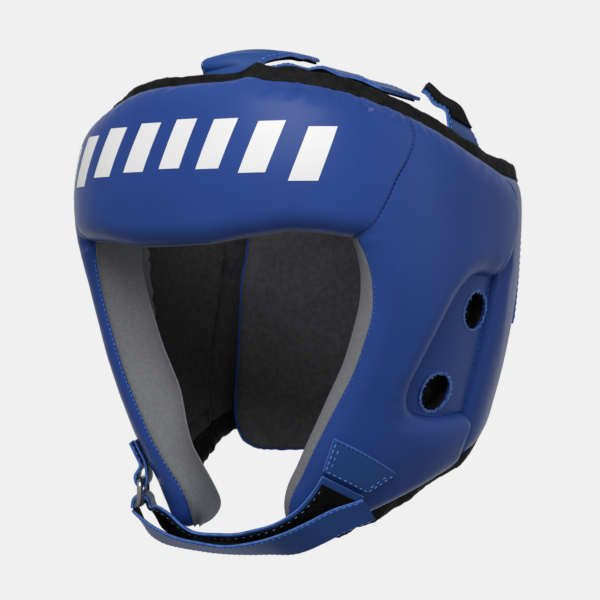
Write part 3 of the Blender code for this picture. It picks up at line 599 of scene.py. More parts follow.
def wing_grid(side):
    ends = station_points(side)
    front = [tuple(point) for point in ends[:7, 1]]
    front += [(FLEX_ANGLE, height) for height in (9.5, -6, -22, -38, -54)]
    front.append((FLEX_ANGLE, float(jaw_height(FLEX_ANGLE, side))))
    rear_angle, rear_top = WING_REAR, 46.0
    rear_low = float(jaw_height(rear_angle, side)) + 4
    across = np.array([0, 0.06, 0.22, 0.45, 0.68, 0.85, 0.95, 1])
    grid = np.empty((len(front), len(across), 2))
    for row, (angle, height) in enumerate(front):
        share = (front[0][1] - height) / (front[0][1] - front[-1][1])
        rear_height = rear_top + share * (rear_low - rear_top)
        for column, place in enumerate(across):
            reach = angle + place * (rear_angle - angle)
            level = height + place * (rear_height - height)
            if row == 0:
                level = float(rim(side * reach)) - 6 * place**6
            elif row == len(front) - 1:
                level = float(jaw_height(reach, side)) + 6 * place**6
            grid[row, column] = (reach, level)
    lift = grid[0, :, 1] - (front[0][1] + across * (rear_top - front[0][1]))
    drop = grid[-1, :, 1] - (front[-1][1] + across * (rear_low - front[-1][1]))
    for row in range(1, len(front) - 1):
        share = (front[0][1] - front[row][1]) / (front[0][1] - front[-1][1])
        grid[row, :, 1] += (1 - share) ** 2 * lift + share**2 * drop
    return spline(spline(grid, (len(front) - 1) * WING_FINE + 1, 0), 7 * ACROSS_FINE + 1, 1)


def wing_centre(angle):
    """The middle of a wing's thickness, which moves outwards towards the rear."""
    taper = np.clip((np.abs(angle) - FLEX_ANGLE) / (117 - FLEX_ANGLE), 0, 1)
    return (WING_OUTER - 9 + 8 * taper) / 2


def wing_panel(side, grid):
    angles, heights = grid[..., 0], grid[..., 1]
    flat = middle(angles, heights)
    edge = np.minimum(distance_to(flat, flat[0]), distance_to(flat, flat[-1]))
    edge = np.minimum(edge, distance_to(flat, flat[:, -1]))
    centre = wing_centre(angles)
    upper = distance_to(flat, flat[:WING_RECESS + 1, 0])
    lower = distance_to(flat, flat[WING_RECESS:, 0])
    swell = 2.2 * np.exp(-(((angles - 121) / 12) ** 2)) * smooth_step((heights + 30) / 45)
    outer = np.minimum(rounded(WING_OUTER, 4.5, upper, 7), rounded(WING_OUTER, 3.2, lower, 20)) + swell
    outer = np.minimum(outer, centre + rounded(WING_OUTER - centre, 2.6, edge, 10))
    inner = EAR_INNER + (-1.3 - EAR_INNER) * smooth_step((angles - along(RAISED_EDGE, heights)) / 2.0)
    inner = np.maximum(inner, centre - rounded(centre - EAR_INNER, 2.6, edge, 10))
    place = heights + 0.5 * angles
    inner = inner + 0.35 * ripple(place, 14, 31) * smooth_step(edge / 8) * (angles > 112)
    return Pad(side, grid, outer, inner)


def ear_grid(side_fine, wing_fine):
    """Ruled between the recess's edge and the wing's front edge, sharing both."""
    inner_edge = side_fine[6 * FINE + 1:RECESS_END, -1]
    wing_edge = wing_fine[WING_RECESS:WING_RECESS_END, 0]
    outer_edge = np.stack([np.interp(np.linspace(0.3, len(wing_edge) - 1.3, len(inner_edge)),
                                     np.arange(len(wing_edge)), wing_edge[:, k]) for k in (0, 1)], -1)
    t = np.linspace(0, 1, EAR_COLUMNS)[None, :, None]
    return inner_edge[:, None] * (1 - t) + outer_edge[:, None] * t


def cut_holes(piece, side):
    """Cuts the two sound holes, and leaves no modifier behind."""
    for angle, height in EAR_HOLES:
        place = Vector(on_form(side * angle, height, -4)) * MM
        bpy.ops.mesh.primitive_cylinder_add(vertices=56, radius=HOLE_RADIUS * MM, depth=40 * MM, location=place)
        cutter = bpy.context.object
        cutter.scale.x = HOLE_WIDER
        cutter.rotation_mode = "QUATERNION"
        cutter.rotation_quaternion = Vector(outward(side * angle, height)).to_track_quat("Z", "Y")
        cut = piece.modifiers.new("hole", "BOOLEAN")
        cut.operation = "DIFFERENCE"
        cut.object = cutter
        bpy.context.view_layer.update()
        graph = bpy.context.evaluated_depsgraph_get()
        mesh = bpy.data.meshes.new_from_object(piece.evaluated_get(graph))
        piece.modifiers.clear()
        piece.data = mesh
        bpy.data.objects.remove(cutter, do_unlink=True)


def hole_trim(side, label):
    """The foam wall of each sound hole and the frayed cut edge of the leather round it."""
    draw = np.random.default_rng(5)
    body = "shell" if side > 0 else "bend"
    for number, (angle, height) in enumerate(EAR_HOLES, 1):
        centre = on_form(side * angle, height, 0)
        axis = outward(side * angle, height)
        right = unit(np.cross(axis, (0, 0, 1.0)))
        up = np.cross(right, axis)
        turns = np.linspace(0, 2 * math.pi, 72, endpoint=False)
        around = HOLE_WIDER * np.cos(turns)[:, None] * right + np.sin(turns)[:, None] * up
        profile = [(EAR_INNER + 1.2, 9.45), (-2, 9.2), (0.4, 9.4), (0.4, 10.4), (EAR_INNER + 1.2, 10.4)]
        rings = np.array([[centre + depth * axis + radius * spoke for depth, radius in profile]
                          for spoke in around])
        loop("ear_hole_wall_%s_%d" % (label, number), rings, [FOAM_DARK], finish="foam", body=body)
        wobble = ripple(turns * 9.5, 3.2, number)
        rings = []
        for spoke, wave in zip(around, wobble):
            ring = []
            for step in range(8):
                turn = step * math.pi / 4
                radius = HOLE_RADIUS - 0.1 + 0.28 * wave + 0.6 * math.cos(turn)
                ring.append(centre + (EAR_DEPTH - 0.2 + 0.15 * wave + 0.4 * math.sin(turn)) * axis
                            + radius * spoke)
            rings.append(ring)
        loop("ear_hole_edge_%s_%d" % (label, number), np.array(rings), [RAW_EDGE], body=body)
        points, faces = [], []
        for _ in range(150):
            turn = draw.uniform(0, 2 * math.pi)
            spoke = HOLE_WIDER * math.cos(turn) * right + math.sin(turn) * up
            out = unit(spoke)
            across = np.cross(axis, out)
            start = centre + (EAR_DEPTH - 0.1) * axis + HOLE_RADIUS * spoke + draw.uniform(-0.4, 0.7) * out
            tip = start + out * draw.uniform(-1.7, 1.1) + across * draw.uniform(-1.2, 1.2) \
                + axis * draw.uniform(-0.3, 0.7)
            first = len(points)
            for end, thick in ((start, 0.15), (tip, 0.06)):
                points += [end + thick * out, end + thick * across, end - thick * out - thick * across
                           + thick * axis]
            faces += [(first + 2, first + 1, first), (first + 3, first + 4, first + 5)]
            for k in range(3):
                faces.append((first + k, first + (k + 1) % 3, first + 3 + (k + 1) % 3, first + 3 + k))
        add_piece("ear_hole_fray_%s_%d" % (label, number), points, faces, [FRAY], body=body)


def back_grid():
    half_row = np.array([0.2, 0.41, 0.545, 0.7, 0.85, 0.96, 1])
    across = np.concatenate([-half_row[::-1], [0], half_row])
    grid = np.empty((len(BACK_PAD_EDGE), len(across), 2))
    for row, (angle, height) in enumerate(BACK_PAD_EDGE):
        for column, place in enumerate(across):
            grid[row, column] = (180 + place * (180 - angle), height)
    grid[-1, :, 1] += (BACK_PAD_BOTTOM - BACK_PAD_EDGE[-1][1]) * (1 - across**6)
    grid[-2, :, 1] += (BACK_PAD_BOTTOM + 5 - BACK_PAD_EDGE[-2][1]) * (1 - across**6) * 0.8
    return spline(spline(grid, 9 * 9 + 1, 0), 14 * 8 + 1, 1)


def back_panel(grid):
    angles, heights = grid[..., 0], grid[..., 1]
    flat = middle(angles, heights)
    free = to_border(flat)
    centre = (BACK_OUTER + BACK_INNER) / 2
    half = rounded((BACK_OUTER - BACK_INNER) / 2, 0.4, free, 9)
    from_wing = (180 - WING_REAR - 2 - np.abs(angles - 180)) * 1.7
    crown = rounded(BACK_CROWN, 0, np.clip(np.minimum(free - 5, from_wing), 0, None), 12)
    inner = centre - half + 0.3 * ripple(heights + 0.4 * angles, 23, 41) * smooth_step(free / 12)
    return Pad(1, grid, centre + half + crown, inner)


def pillow_depth(heights):
    """How far the lining swells inwards along the opening, least at the jaw corner."""
    slim = 1 - 0.56 * smooth_step((-46 - np.asarray(heights)) / 45)
    return PILLOW * slim * rounded(1, 0.05, np.asarray(heights) + 107, 13)


def edge_roll(name, angles, heights, seams, slimmer, body="shell", inner=1.2):
    """The lining rolled over the free edge, from its seam on the outer face round to the inner face."""
    edge = middle(angles, heights)
    normal = outward(angles, heights)
    tangent = np.gradient(edge, axis=0)
    for _ in range(4):
        tangent[1:-1] = (tangent[:-2] + tangent[1:-1] + tangent[2:]) / 3
    into = unit(np.cross(normal, tangent))
    steps = 26
    seams = np.broadcast_to(seams, (len(edge),))
    slimmer = np.broadcast_to(slimmer, (len(edge),))
    upper, lower = [], []
    for step in range(steps):
        turn = step / (steps - 1)
        start = np.arccos(1 - seams / EDGE_ROUND)
        stop = -np.arccos(1 - inner / INNER_ROUND)
        swing = start + (stop - start) * turn
        free = np.where(swing > 0, EDGE_ROUND, INNER_ROUND) * (1 - np.cos(swing))
        depth = np.sin(swing) * np.where(swing > 0, PAD - slimmer, pillow_depth(heights))
        away = -np.cos(swing)[:, None] * into + np.sin(swing)[:, None] * normal
        base = edge + free[:, None] * into + depth[:, None] * normal
        tuck = 0.42 * math.sin(math.pi * min(turn * 9, 0.5)) - 0.1 - 0.5 * smooth_step((turn - 0.75) / 0.25)
        upper.append(base + tuck * away)
        lower.append(base + (tuck - 0.6) * away)
    piece = slab(name, np.stack(upper, 1), np.stack(lower, 1), [SUEDE_GREY], body=body, finish="grey_suede")
    start = np.arccos(1 - (seams + 0.55) / EDGE_ROUND)
    away = -np.cos(start)[:, None] * into + np.sin(start)[:, None] * normal
    line = edge + (seams + 0.55)[:, None] * into \
        + (PAD * np.sin(start) * (1 - slimmer / PAD))[:, None] * normal + 0.1 * away
    return piece, line, away


def build_rolls(grids):
    for side, label in ((1, "left"), (-1, "right")):
        grid = grids[side]
        rows = np.concatenate([grid[FIRST_OPEN:, 0], grid[-1, 1:7]])
        reach = np.arange(len(rows))
        ends = np.clip((len(rows) - 1 - reach) / 22, 0, 1)
        start = np.clip(reach / 20, 0, 1)
        wide = (2.3 if side > 0 else 1.0) * start + 0.5 * (1 - start)
        seams = 0.3 + (wide - 0.3) * smooth_step(ends)
        slimmer = along(RIGHT_CHEEK_SLIMMER, rows[:, 1]) if side < 0 else 0.0
        inside = 0.6 + 15.4 * smooth_step((rows[:, 1] + 109) / 14)
        _, line, away = edge_roll("opening_roll_" + label, side * rows[:, 0], rows[:, 1], seams, slimmer,
                                  inner=inside)
        stitches("opening_stitches_" + label, line[6:-24], away[6:-24], THREAD if side < 0 else SEAM_THREAD,
                 length=1.2, gap=1.2, radius=0.17)
    angles = np.linspace(-BROW_END - 0.1, BROW_END + 0.1, 120)
    edge_roll("brow_roll", angles, along(BROW, angles), 0.45, 0.0)


def build_panels():
    grids = {side: side_grid(side) for side in (1, -1)}
    opening, top = face_opening(grids), top_hem()
    for side, label in ((1, "left"), (-1, "right")):
        body = "shell" if side > 0 else "bend"
        grid = grids[side]
        side_pad = side_panel(side, grid, opening, top)
        wing = wing_grid(side)
        ears = ear_grid(grid, wing)
        bulge = 0.5 * np.sin(np.linspace(0, math.pi, ears.shape[1]))[None, :]
        ear_pad = Pad(side, ears, 2.1 + bulge + np.zeros(ears.shape[:2]), EAR_INNER + np.zeros(ears.shape[:2]))
        # The wing and ear linings use the darkest suede copy as painted deep shade. The side lining keeps the plain
        # grey suede.
        for kind, face, pad, fill, look in (("side", "cover", side_pad, 0.7, SUEDE_GREY),
                                            ("wing", "cover", wing_panel(side, wing), 0.7, SUEDE_PAINTED_DEEP_SHADE),
                                            ("ear", "panel", ear_pad, 0.3, SUEDE_PAINTED_DEEP_SHADE)):
            cover = pad.cover(f"{kind}_{face}_{label}_leather",
                              [f"{kind}_{face}_{label}", f"{kind}_foam_{label}"], body=body, fill=fill)
            pad.lining(f"{kind}_lining_{label}_suede", [f"{kind}_lining_{label}"], body=body, fill=fill,
                       look=look)
        cut_holes(cover, side)
        hole_trim(side, label)
        rows = np.arange(2, FIRST_OPEN)
        form_stitches("forehead_seam_stitches_" + label, *side_pad.outer_path(rows, 0, 0.12), DARK_THREAD,
                      length=1.5, gap=0.9, radius=0.22)
        rows = np.arange(8, ears.shape[0] - 1)
        form_stitches("wing_seam_stitches_" + label, *ear_pad.outer_path(rows, EAR_COLUMNS - 2), SEAM_THREAD,
                      length=1.7, gap=1.4, radius=0.2)
        rows = np.arange(ears.shape[0] - 22, ears.shape[0] - 3)
        form_stitches("recess_stitches_" + label, *ear_pad.outer_path(rows, 2), SEAM_THREAD,
                      length=1.6, gap=1.3, radius=0.2)
    build_rolls(grids)
    seams = {side: grid[FIRST_OPEN::-1, 0] for side, grid in grids.items()}
    forehead = forehead_panel(seams, opening, top)
    forehead.cover("forehead_leather", ["forehead_cover", "forehead_foam"])
    # The forehead lining gets the darker suede copy as painted shade.
    forehead.lining("forehead_suede", ["forehead_lining"], look=SUEDE_PAINTED_SHADE)
    back = back_panel(back_grid())
    back.cover("back_pad_leather", ["back_pad_cover", "back_pad_foam"])
    # The back pad lining gets the darker suede copy as painted shade.
    back.lining("back_pad_suede", ["back_pad_lining"], look=SUEDE_PAINTED_SHADE)
    back_flange(back)
    build_marking(opening, top)


def back_flange(back):
    """The blue seam allowance that stands out round the back pad."""
    angles, heights = once_round(back.angles), once_round(back.heights)
    edge = middle(angles, heights)
    ahead = np.roll(edge, -1, axis=0) - np.roll(edge, 1, axis=0)
    for _ in range(3):
        ahead = (np.roll(ahead, 1, axis=0) + ahead + np.roll(ahead, -1, axis=0)) / 3
    normal = outward(angles, heights)
    away = unit(np.cross(ahead, normal))
    if (away * (edge - edge.mean(axis=0))).sum() < 0:
        away = -away
    base = on_form(angles, heights, (BACK_OUTER + BACK_INNER) / 2)
    wave = 0.2 * ripple(np.arange(len(edge)) * 1.3, 9, 12)[:, None]
    rings = np.stack([base - 1.2 * away + 0.3 * normal, base + (0.9 + wave) * away + 0.4 * normal,
                      base + (1.1 + wave) * away, base + (0.9 + wave) * away - 0.4 * normal,
                      base - 1.2 * away - 0.3 * normal], 1)
    loop("back_pad_edge", rings, [BLUE])


# ---------------------------------------------------------------- bindings

def binding(name, angles, heights, centres, reach, half, nodes, body="shell", seed=1):
    """A folded tape along an edge. reach is its height above the edge, or below it if negative."""
    angles = np.asarray(angles, float)
    count, size = len(angles), 24
    place = np.radians(np.abs(angles)) * AROUND
    rings = np.empty((count, size, 3))
    reach = np.broadcast_to(reach, (count,)) * (1 + 0.035 * ripple(place, 17, seed))
    low = -0.12 * reach
    sway = 0.35 * ripple(place, 23, seed + 1)
    for step in range(size):
        turn = 2 * math.pi * step / size
        c, s = math.cos(turn), math.sin(turn)
        flat = math.copysign(abs(c) ** 0.6, c)
        tall = math.copysign(abs(s) ** 0.72, s)
        offset = (half + 0.15 * ripple(place + 3 * step, 8, seed + 2)) * flat
        if s < -0.2:
            offset = offset + 0.35 * np.sign(c) * abs(s)
        rise = low + (reach - low) * (0.5 + 0.5 * tall) + 0.12 * ripple(place, 6, seed + 3 + step % 3)
        rings[:, step] = on_form(angles, heights + rise, centres + offset + sway)
    piece = sweep(name, rings, [TAPE_BLACK], body=body, finish="black_binding")
    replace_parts(piece, *nodes)
    for face, label in ((1, "_stitches"), (-1, "_inner_stitches")):
        form_stitches(name + label, angles, heights + 0.14 * reach, centres + face * (half + 0.25) + sway,
                      BLACK_THREAD, length=1.6, gap=1.3, radius=0.2, body=body, finish="black_binding")


def corner_bend(angles):
    """How far a wing's hems bend towards each other near its rear edge."""
    return 6 * np.clip((np.abs(angles) - REAR_CORNER) / (WING_REAR - REAR_CORNER), 0, 1) ** 6


def hem_centre(angles):
    return np.where(np.abs(angles) > FLEX_ANGLE, wing_centre(angles), 0)


def build_bindings():
    angles = np.linspace(-97, WING_REAR, 440)
    binding("crown_binding_tape", angles, rim(angles) - corner_bend(angles), hem_centre(angles),
            along(CROWN_REACH, angles), 3.1, ["crown_binding", "wing_top_binding_left"])
    angles = np.linspace(-97, -WING_REAR, 130)
    binding("wing_top_binding_right_tape", angles, rim(angles) - corner_bend(angles), hem_centre(angles),
            along(CROWN_REACH, angles), 3.1, ["wing_top_binding_right"], body="bend")
    for side, label in ((1, "left"), (-1, "right")):
        angles = np.linspace(46, WING_REAR, 220)
        heights = jaw_height(angles, side)
        heights = np.mean([np.interp(angles + step, angles, heights) for step in np.linspace(-5, 5, 7)], axis=0)
        binding(f"jaw_binding_{label}_tape", side * angles, heights + corner_bend(angles), hem_centre(angles),
                -along(JAW_REACH, angles), 3.2, [f"jaw_binding_{label}", f"wing_lower_binding_{label}"],
                body="shell" if side > 0 else "bend", seed=9)


# ---------------------------------------------------------------- straps

def band(name, first, second, count, thickness, looks, offset=0.0, inset=0.0, across=14, wave=0.25, seed=1,
         crown=0.0, **options):
    """A strap between two edge curves, with its two faces, softened edges and slight waviness."""
    first, second = spline(first, count), spline(second, count)
    wide = second - first
    width = np.linalg.norm(wide, axis=-1, keepdims=True)
    wide = wide / width
    first, second = first + inset * wide, second - inset * wide
    shares = 0.5 - 0.325 * np.cos(np.linspace(0, math.pi, across)) - 0.35 * (0.5 - np.linspace(0, 1, across))
    shares = (shares - shares[0]) / (shares[-1] - shares[0])
    centre = first[:, None] + shares[None, :, None] * (second - first)[:, None]
    forward = np.gradient(centre, axis=0)
    normal = unit(np.cross(forward, np.broadcast_to(wide[:, None], forward.shape)))
    reach = np.concatenate([[0], np.cumsum(np.linalg.norm(np.diff(first, axis=0), axis=1))])
    sway = wave * ripple(reach[:, None] + 4 * shares[None, :], 21, seed)
    arch = crown * 4 * shares * (1 - shares)
    edge = np.minimum(shares, 1 - shares) * width.mean()
    half = thickness / 2 * rounded(1, 0.55, edge, 0.9)
    lift = offset + sway + arch[None, :]
    outer = centre + (lift + half)[..., None] * normal
    inner = centre + (lift - half)[..., None] * normal
    piece = slab(name, outer, inner, looks, **options)
    return piece, outer, inner, normal


def edge_stitches(name, faces, normal, inset_column, look, **options):
    """A stitch line along a band, at one of its grid columns."""
    return stitches(name, faces[2:-2, inset_column], normal[2:-2, inset_column], look, **options)


def form_points(places):
    return np.array([on_form(angle, height, depth) for angle, height, depth in places])


def sheet_on_form(name, corners, depth, thickness, looks, rows=26, columns=34, **options):
    """A flat sheet on the form between four (angle, height) corners; depth may vary along the columns."""
    a, b, c, d = np.array(corners, float)
    s = np.linspace(0, 1, columns)[None, :, None]
    t = np.linspace(0, 1, rows)[:, None, None]
    grid = (1 - t) * ((1 - s) * a + s * b) + t * ((1 - s) * d + s * c)
    flat = middle(grid[..., 0], grid[..., 1])
    edge = to_border(flat)
    depth = np.broadcast_to(depth, (rows, columns))
    top = depth + thickness * rounded(1, 0.6, edge, 1.2)
    piece = slab(name, on_form(grid[..., 0], grid[..., 1], top), on_form(grid[..., 0], grid[..., 1], depth),
                 looks, **options)
    return piece, grid, top


def sheet_stitches(name, grid, top, inset, look, sides=(0, 1, 2, 3), **options):
    """A line of stitches inside each chosen edge of a sheet: top, end, bottom, start."""
    rows, columns = grid.shape[:2]
    flat = middle(grid[..., 0], grid[..., 1])
    row = max(1, round(inset / np.linalg.norm(flat[-1, 0] - flat[0, 0]) * (rows - 1)))
    column = max(1, round(inset / np.linalg.norm(flat[0, -1] - flat[0, 0]) * (columns - 1)))
    lines = {0: (row, slice(column, columns - column)), 1: (slice(row, rows - row), columns - 1 - column),
             2: (rows - 1 - row, slice(column, columns - column)), 3: (slice(row, rows - row), column)}
    for side in sides:
        where = lines[side]
        form_stitches("%s_%d" % (name, side), grid[where][..., 0], grid[where][..., 1], top[where], look, **options)


RING_BAR = np.array([-62.5, -46.5, -98.5])
BAR_ALONG = np.array([-0.5, 0.866, 0.0])
BAR_OUT = np.array([-0.866, -0.5, 0.0])
RING_UP = np.array([0.0, 0.0, 1.0])
RING_HEIGHT = 11.0
RING_HALF_WIDTH = 15.0
RING_WIRE = 1.5


def at_bar(out, up, along_bar):
    return RING_BAR + BAR_OUT * out + BAR_ALONG * along_bar + np.array([0, 0, up])


def in_ring(out, up, along_bar):
    return RING_BAR + np.cross(RING_UP, BAR_ALONG) * out + BAR_ALONG * along_bar + RING_UP * up


def build_chin():
    coarse = dict(length=1.8, gap=1.0, radius=0.24)
    patch, grid, top = sheet_on_form(
        "chin_anchor_leather", [(39.3, -59), (61.2, -74.2), (51.5, -82.4), (36.8, -72.7)], 11.1, 2.3,
        STRAP_LOOKS)
    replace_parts(patch, "chin_anchor_patch")
    sheet_stitches("chin_anchor_stitches", grid, top, 1.4, THREAD, sides=(1, 2, 3), **coarse)
    sheet_stitches("chin_anchor_inner_stitches", grid, top, 3.2, THREAD, sides=(1, 3), **coarse)
    sheet_stitches("chin_anchor_top_stitches", grid, top, 0.8, DARK_THREAD, sides=(0,), length=1.8, gap=0.8,
                   radius=0.3)
    strap_front = list(form_points([
        (36.6, -74.2, 12.8), (33.4, -81.3, 14), (28.9, -88.2, 15.8), (21.9, -94.2, 17.3), (12.5, -98.7, 17.7),
        (1.6, -100.8, 17.7), (-9, -101, 17.2), (-16, -98.5, 15.9), (-22, -94, 15), (-29, -91, 15)]))
    strap_rear = list(form_points([
        (51.0, -83.8, 12.8), (46.0, -90.8, 13.6), (40, -98.6, 13.0), (31, -106.8, 9.6), (17, -112.5, 2.4),
        (1.6, -114.6, -1.2), (-12, -115.0, -0.8), (-24, -113.2, 3.6), (-34, -109.6, 8.8), (-42, -104, 13.2)]))
    over_bar = [(-4.6, -2.0), (-3.3, 2.0), (0, 4.0), (3.3, 2.0), (4.2, -2.4)]
    strap_front += [at_bar(out, up, -11) for out, up in over_bar]
    strap_rear += [at_bar(out, up, 11) for out, up in over_bar]
    strap, *_ = band("chin_strap_leather", strap_front, strap_rear, 130, STRAP - 0.5,
                                       STRAP_LOOKS, wave=0.12)
    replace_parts(strap, "chin_strap")
    front_in, rear_in = spline(strap_front, 130)[3:104], spline(strap_rear, 130)[3:104]
    _, tape_outer, _, tape_normal = band("chin_loop_tape", front_in, rear_in, 110, 0.9, [LOOP_BLACK],
                                            offset=STRAP / 2 + 0.2, inset=1.3, wave=0.08,
                                            finish="hook_and_loop")
    edge_stitches("chin_loop_stitches", tape_outer, tape_normal, 1, THREAD, length=1.5, gap=2.4, radius=0.16)

    tail_front = [at_bar(4.2, -3.4, -11)] + list(form_points([
        (-36, -95, 21.5), (-26, -99, 21.2), (-17, -102, 20.5), (-8, -104.6, 19.2), (4, -105.6, 18.4),
        (15.5, -102.6, 18.6), (24, -98.2, 19), (31.5, -92.4, 19.2), (40, -85.8, 19), (48.5, -81.6, 18.6)]))
    tail_rear = [at_bar(4.2, -3.4, 11)] + list(form_points([
        (-49, -101.5, 21.5), (-42, -107.4, 18.6), (-33, -112, 12.6), (-19, -115.8, 6.8), (0, -116.8, 4.2),
        (16, -115, 6.0), (28, -111, 12.2), (38, -102.8, 16.8), (46, -95.8, 18.6), (54.5, -91.2, 18.6)]))
    tail, _, inner, normal = band("chin_tail_leather", tail_front, tail_rear, 120, STRAP - 0.4,
                                      [LOOP_BLACK, STRAP_BLUE, RAW_EDGE], wave=0.15, seed=4, body="chin_tail")
    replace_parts(tail, "chin_tail")
    for column in (1, 12):
        edge_stitches("chin_tail_stitches_%d" % column, inner, -normal, column, THREAD, length=1.7, gap=1.3,
                      radius=0.17, body="chin_tail")


def build_ring():
    corners = []
    for centre_u, centre_z, start in ((1, 1, 0), (-1, 1, 90), (-1, -1, 180), (1, -1, 270)):
        for step in range(9):
            turn = math.radians(start + step * 11.25)
            corners.append((centre_u * (RING_HALF_WIDTH - 3) + 3 * math.cos(turn),
                            centre_z * (RING_HEIGHT / 2 - 3) + 3 * math.sin(turn)))
    rings = []
    for number, (u, up) in enumerate(corners):
        before, after = np.array(corners[number - 1]), np.array(corners[(number + 1) % len(corners)])
        tangent = unit(after - before)
        side = np.array([tangent[1], -tangent[0]])
        ring = []
        for step in range(16):
            turn = math.radians(step * 22.5)
            swell = side * RING_WIRE * math.cos(turn)
            ring.append(in_ring(RING_WIRE * math.sin(turn), RING_HEIGHT / 2 + up + swell[1], u + swell[0]))
        rings.append(ring)
    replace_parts(loop("chin_ring_wire", np.array(rings), [STEEL], finish="steel"), "chin_ring")
    reach = RING_WIRE + 0.45 + LEATHER / 2
    edges = []
    for angle, shift in ((-44.5, -10.5), (-58.5, 10.5)):
        edges.append(np.concatenate([
            form_points([(angle, -66, 7.6), (angle, -71, 7.2), (angle, -76, 7.2)]),
            [in_ring(out * reach, RING_HEIGHT + up * reach, shift)
             for out, up in ((-1, 0.9), (-1, 0), (-0.7, -0.7), (0, -1), (0.7, -0.7), (1, 0), (1, 0.9))],
            form_points([(angle, -76, 9.8), (angle, -71, 9.6), (angle, -66, 9.9)])]))
    tab, _, inner, normal = band("ring_tab_leather", edges[0], edges[1], 120, LEATHER - 0.1,
                                     STRAP_LOOKS, wave=0.05)
    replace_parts(tab, "ring_tab")
    for column in (1, 12):
        stitches("ring_tab_stitches_%d" % column, inner[80:118, column], -normal[80:118, column], THREAD,
                 length=1.6, gap=1.1, radius=0.2)


def strap_root(angle):
    return [on_form(angle, rim(angle) + rise, -depth) for rise, depth in ((0.8, 4.9), (10, 5.4))]


def crown_strap(name, first, second, part, above, wave=0.6, crown=0.0, seed=2):
    """A strap over the crown with its hook or loop tape, on its own body."""
    strap, outer, inner, normal = band(name + "_leather", first, second, 90, STRAP - 0.3,
                                       STRAP_LOOKS, wave=wave, seed=seed, crown=crown,
                                       body=name)
    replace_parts(strap, name)
    start, stop = [round(place * 4.7) for place in part]
    faces = outer if above else inner
    turn = 1 if above else -1
    upper = faces[start:stop, 1:-1] + turn * 1.1 * normal[start:stop, 1:-1]
    lower = faces[start:stop, 1:-1] + turn * 0.12 * normal[start:stop, 1:-1]
    tape = slab(name + "_tape", upper, lower, [LOOP_BLACK], body=name, finish="hook_and_loop")
    for column in (1, 12):
        edge_stitches("%s_stitches_%d" % (name, column), outer, normal, column, THREAD, length=1.7, gap=1.2,
                      radius=0.2, body=name)
    return tape


def build_crown_straps():
    tape = crown_strap(
        "crown_strap_left",
        strap_root(106) + [(79, 29, 81), (72, 28, 91.5), (64, 26, 99), (56, 24, 105)],
        strap_root(84) + [(82, -1, 85.5), (77.5, 0, 90.5), (71, 2, 95.5), (65, 4, 100)],
        (8, 19), above=True)
    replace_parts(tape, "crown_loop_patch_left")
    tape = crown_strap(
        "crown_strap_right",
        strap_root(-78) + [(-77, -11, 93), (-58, -12, 106), (-30, -12, 113.5), (0, -12, 114), (28, -12, 109),
                           (50, -10, 101)],
        strap_root(-106) + [(-77, 27, 85), (-60, 27, 101), (-32, 27, 111.5), (0, 28, 113), (28, 28, 107.5),
                            (51, 28, 98.5)],
        (12, 19), above=False, wave=0.8)
    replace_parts(tape, "crown_hook_patch_right")
    tape = crown_strap(
        "crown_strap_front",
        strap_root(15) + [(23, -70, 108.5), (29, -60, 112), (31, -47, 113), (31, -34, 112)],
        strap_root(-4) + [(-6, -77, 109), (-5, -66, 112.5), (-3, -51, 114.5), (-1, -34, 113.5)],
        (11, 19), above=False, wave=0.7, crown=2.5, seed=6)
    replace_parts(tape, "crown_hook_patch_front")


def build_rear_closure():
    face = WING_OUTER + 0.45
    lap = face + 1.45
    low, high = -10, 40
    black = dict(finish="hook_and_loop")
    piece, grid, top = sheet_on_form("rear_loop_tape", [(140, high), (154.5, high), (154.5, low), (140, low)],
                                     face - 0.3, 1.25, [LOOP_BLACK], **black)
    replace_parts(piece, "rear_loop_patch")
    sheet_stitches("rear_loop_stitches", grid, top, 1.6, BLACK_THREAD, length=1.8, gap=1.2, radius=0.2, **black)
    piece, grid, top = sheet_on_form("rear_strap_root_leather",
                                     [(-140, high), (-155.3, high), (-155.3, low), (-140, low)],
                                     face - 0.3, 2.1, STRAP_LOOKS, body="right_wing")
    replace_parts(piece, "rear_strap_root")
    sheet_stitches("rear_root_stitches", grid, top, 2.0, THREAD, sides=(0, 2, 3), length=2, gap=1.2, radius=0.22,
                   body="right_wing")
    sheet_stitches("rear_root_inner_stitches", grid, top, 4.6, THREAD, sides=(3,), length=2, gap=1.2, radius=0.22,
                   body="right_wing")
    angles = np.linspace(-156.4, -220, 80)
    inner = np.interp(-angles, [156, 168, 196, 220], [face, face, lap + 1.45, lap + 1.45])
    piece, grid, top = sheet_on_form("rear_strap_leather", [(-156.4, high), (-220, high), (-220, low), (-156.4, low)],
                                     inner, 1.9, STRAP_LOOKS, columns=80,
                                     body="rear_strap")
    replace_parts(piece, "rear_strap")
    sheet_stitches("rear_strap_stitches", grid, top, 2.0, THREAD, sides=(0, 1, 2), length=2, gap=1.2, radius=0.2,
                   body="rear_strap")
    piece, *_ = sheet_on_form("rear_hook_tape",
                                     [(141.5, high - 3), (153, high - 3), (153, low + 3), (141.5, low + 3)], lap,
                                     1.2, [LOOP_BLACK], body="rear_strap", **black)
    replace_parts(piece, "rear_hook_patch")


# ---------------------------------------------------------------- printed marking

def build_marking(opening, top):
    """Plain slanted bars on the forehead, standing for any printed marking."""
    for number, start in enumerate(np.linspace(-47.5, 30, 8), 1):
        rows, columns = 20, 10
        t = np.linspace(0, 1, rows)[:, None]
        s = np.linspace(0, 1, columns)[None, :]
        low = np.interp(start + 3, [-46, -36, -20, 0, 15, 30, 37], [48, 52, 56.5, 58, 57, 53, 50])
        tall = np.interp(start + 3, [-46, -20, 15, 37], [22, 20.5, 20.5, 22])
        angles = start + s * 6.2 + 4.2 * (t - 0.5)
        heights = low + t * tall + 0 * s
        depth, _ = forehead_depth(angles, heights, opening, top)
        slab("marking_bar_%d" % number, on_form(angles, heights, depth + 0.14),
             on_form(angles, heights, depth - 0.25), [PRINT])


# ---------------------------------------------------------------- stage

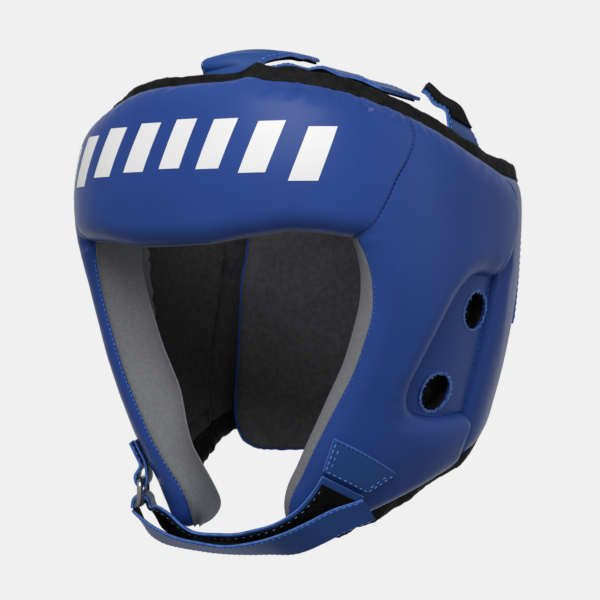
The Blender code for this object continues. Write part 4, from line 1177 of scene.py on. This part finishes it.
def area_light(name, place, size, power):
    data = bpy.data.lights.new(name, "AREA")
    data.shape = "RECTANGLE"
    data.size, data.size_y = size
    data.energy = power
    light = bpy.data.objects.new(name, data)
    light.location = place
    light.rotation_euler = (-place).to_track_quat("-Z", "Y").to_euler()
    bpy.context.scene.collection.objects.link(light)


def build_stage():
    back = Vector((math.sin(CAMERA_AZIMUTH), -math.cos(CAMERA_AZIMUTH), 0))
    right = Vector((math.cos(CAMERA_AZIMUTH), math.sin(CAMERA_AZIMUTH), 0))
    world = bpy.data.worlds.new("studio")
    world.use_nodes = True
    tree = world.node_tree
    place = tree.nodes.new("ShaderNodeTexCoord")
    along_view = tree.nodes.new("ShaderNodeVectorMath")
    along_view.operation = "DOT_PRODUCT"
    along_view.inputs[1].default_value = -back
    tree.links.new(place.outputs["Generated"], along_view.inputs[0])
    paler = tree.nodes.new("ShaderNodeMapRange")
    paler.interpolation_type = "SMOOTHSTEP"
    for name, value in (("From Min", 0.45), ("From Max", 0.94), ("To Min", 0.26), ("To Max", 0.871)):
        paler.inputs[name].default_value = value
    tree.links.new(along_view.outputs["Value"], paler.inputs["Value"])
    tree.links.new(paler.outputs["Result"], tree.nodes["Background"].inputs["Strength"])
    tree.nodes["Background"].inputs["Color"].default_value = (1, 1, 1, 1)
    bpy.context.scene.world = world
    area_light("key", back * 1.1 - right * 0.25 + Vector((0, 0, 0.9)), (0.9, 0.7), 16.0)
    area_light("side", back * 0.3 + right * 1.2 + Vector((0, 0, 0.35)), (0.5, 1.2), 2.6)

    camera = bpy.data.cameras.new("camera")
    camera.lens = 121.8
    camera.sensor_width = 36
    eye = bpy.data.objects.new("camera", camera)
    eye.location = CAMERA_DISTANCE * back + CAMERA_SHIFT * right
    eye.rotation_euler = (-back).to_track_quat("-Z", "Y").to_euler()
    bpy.context.scene.collection.objects.link(eye)
    bpy.context.scene.camera = eye
    bpy.context.scene.view_settings.view_transform = "Standard"


build_panels()
build_bindings()
build_chin()
build_ring()
build_crown_straps()
build_rear_closure()
build_stage()
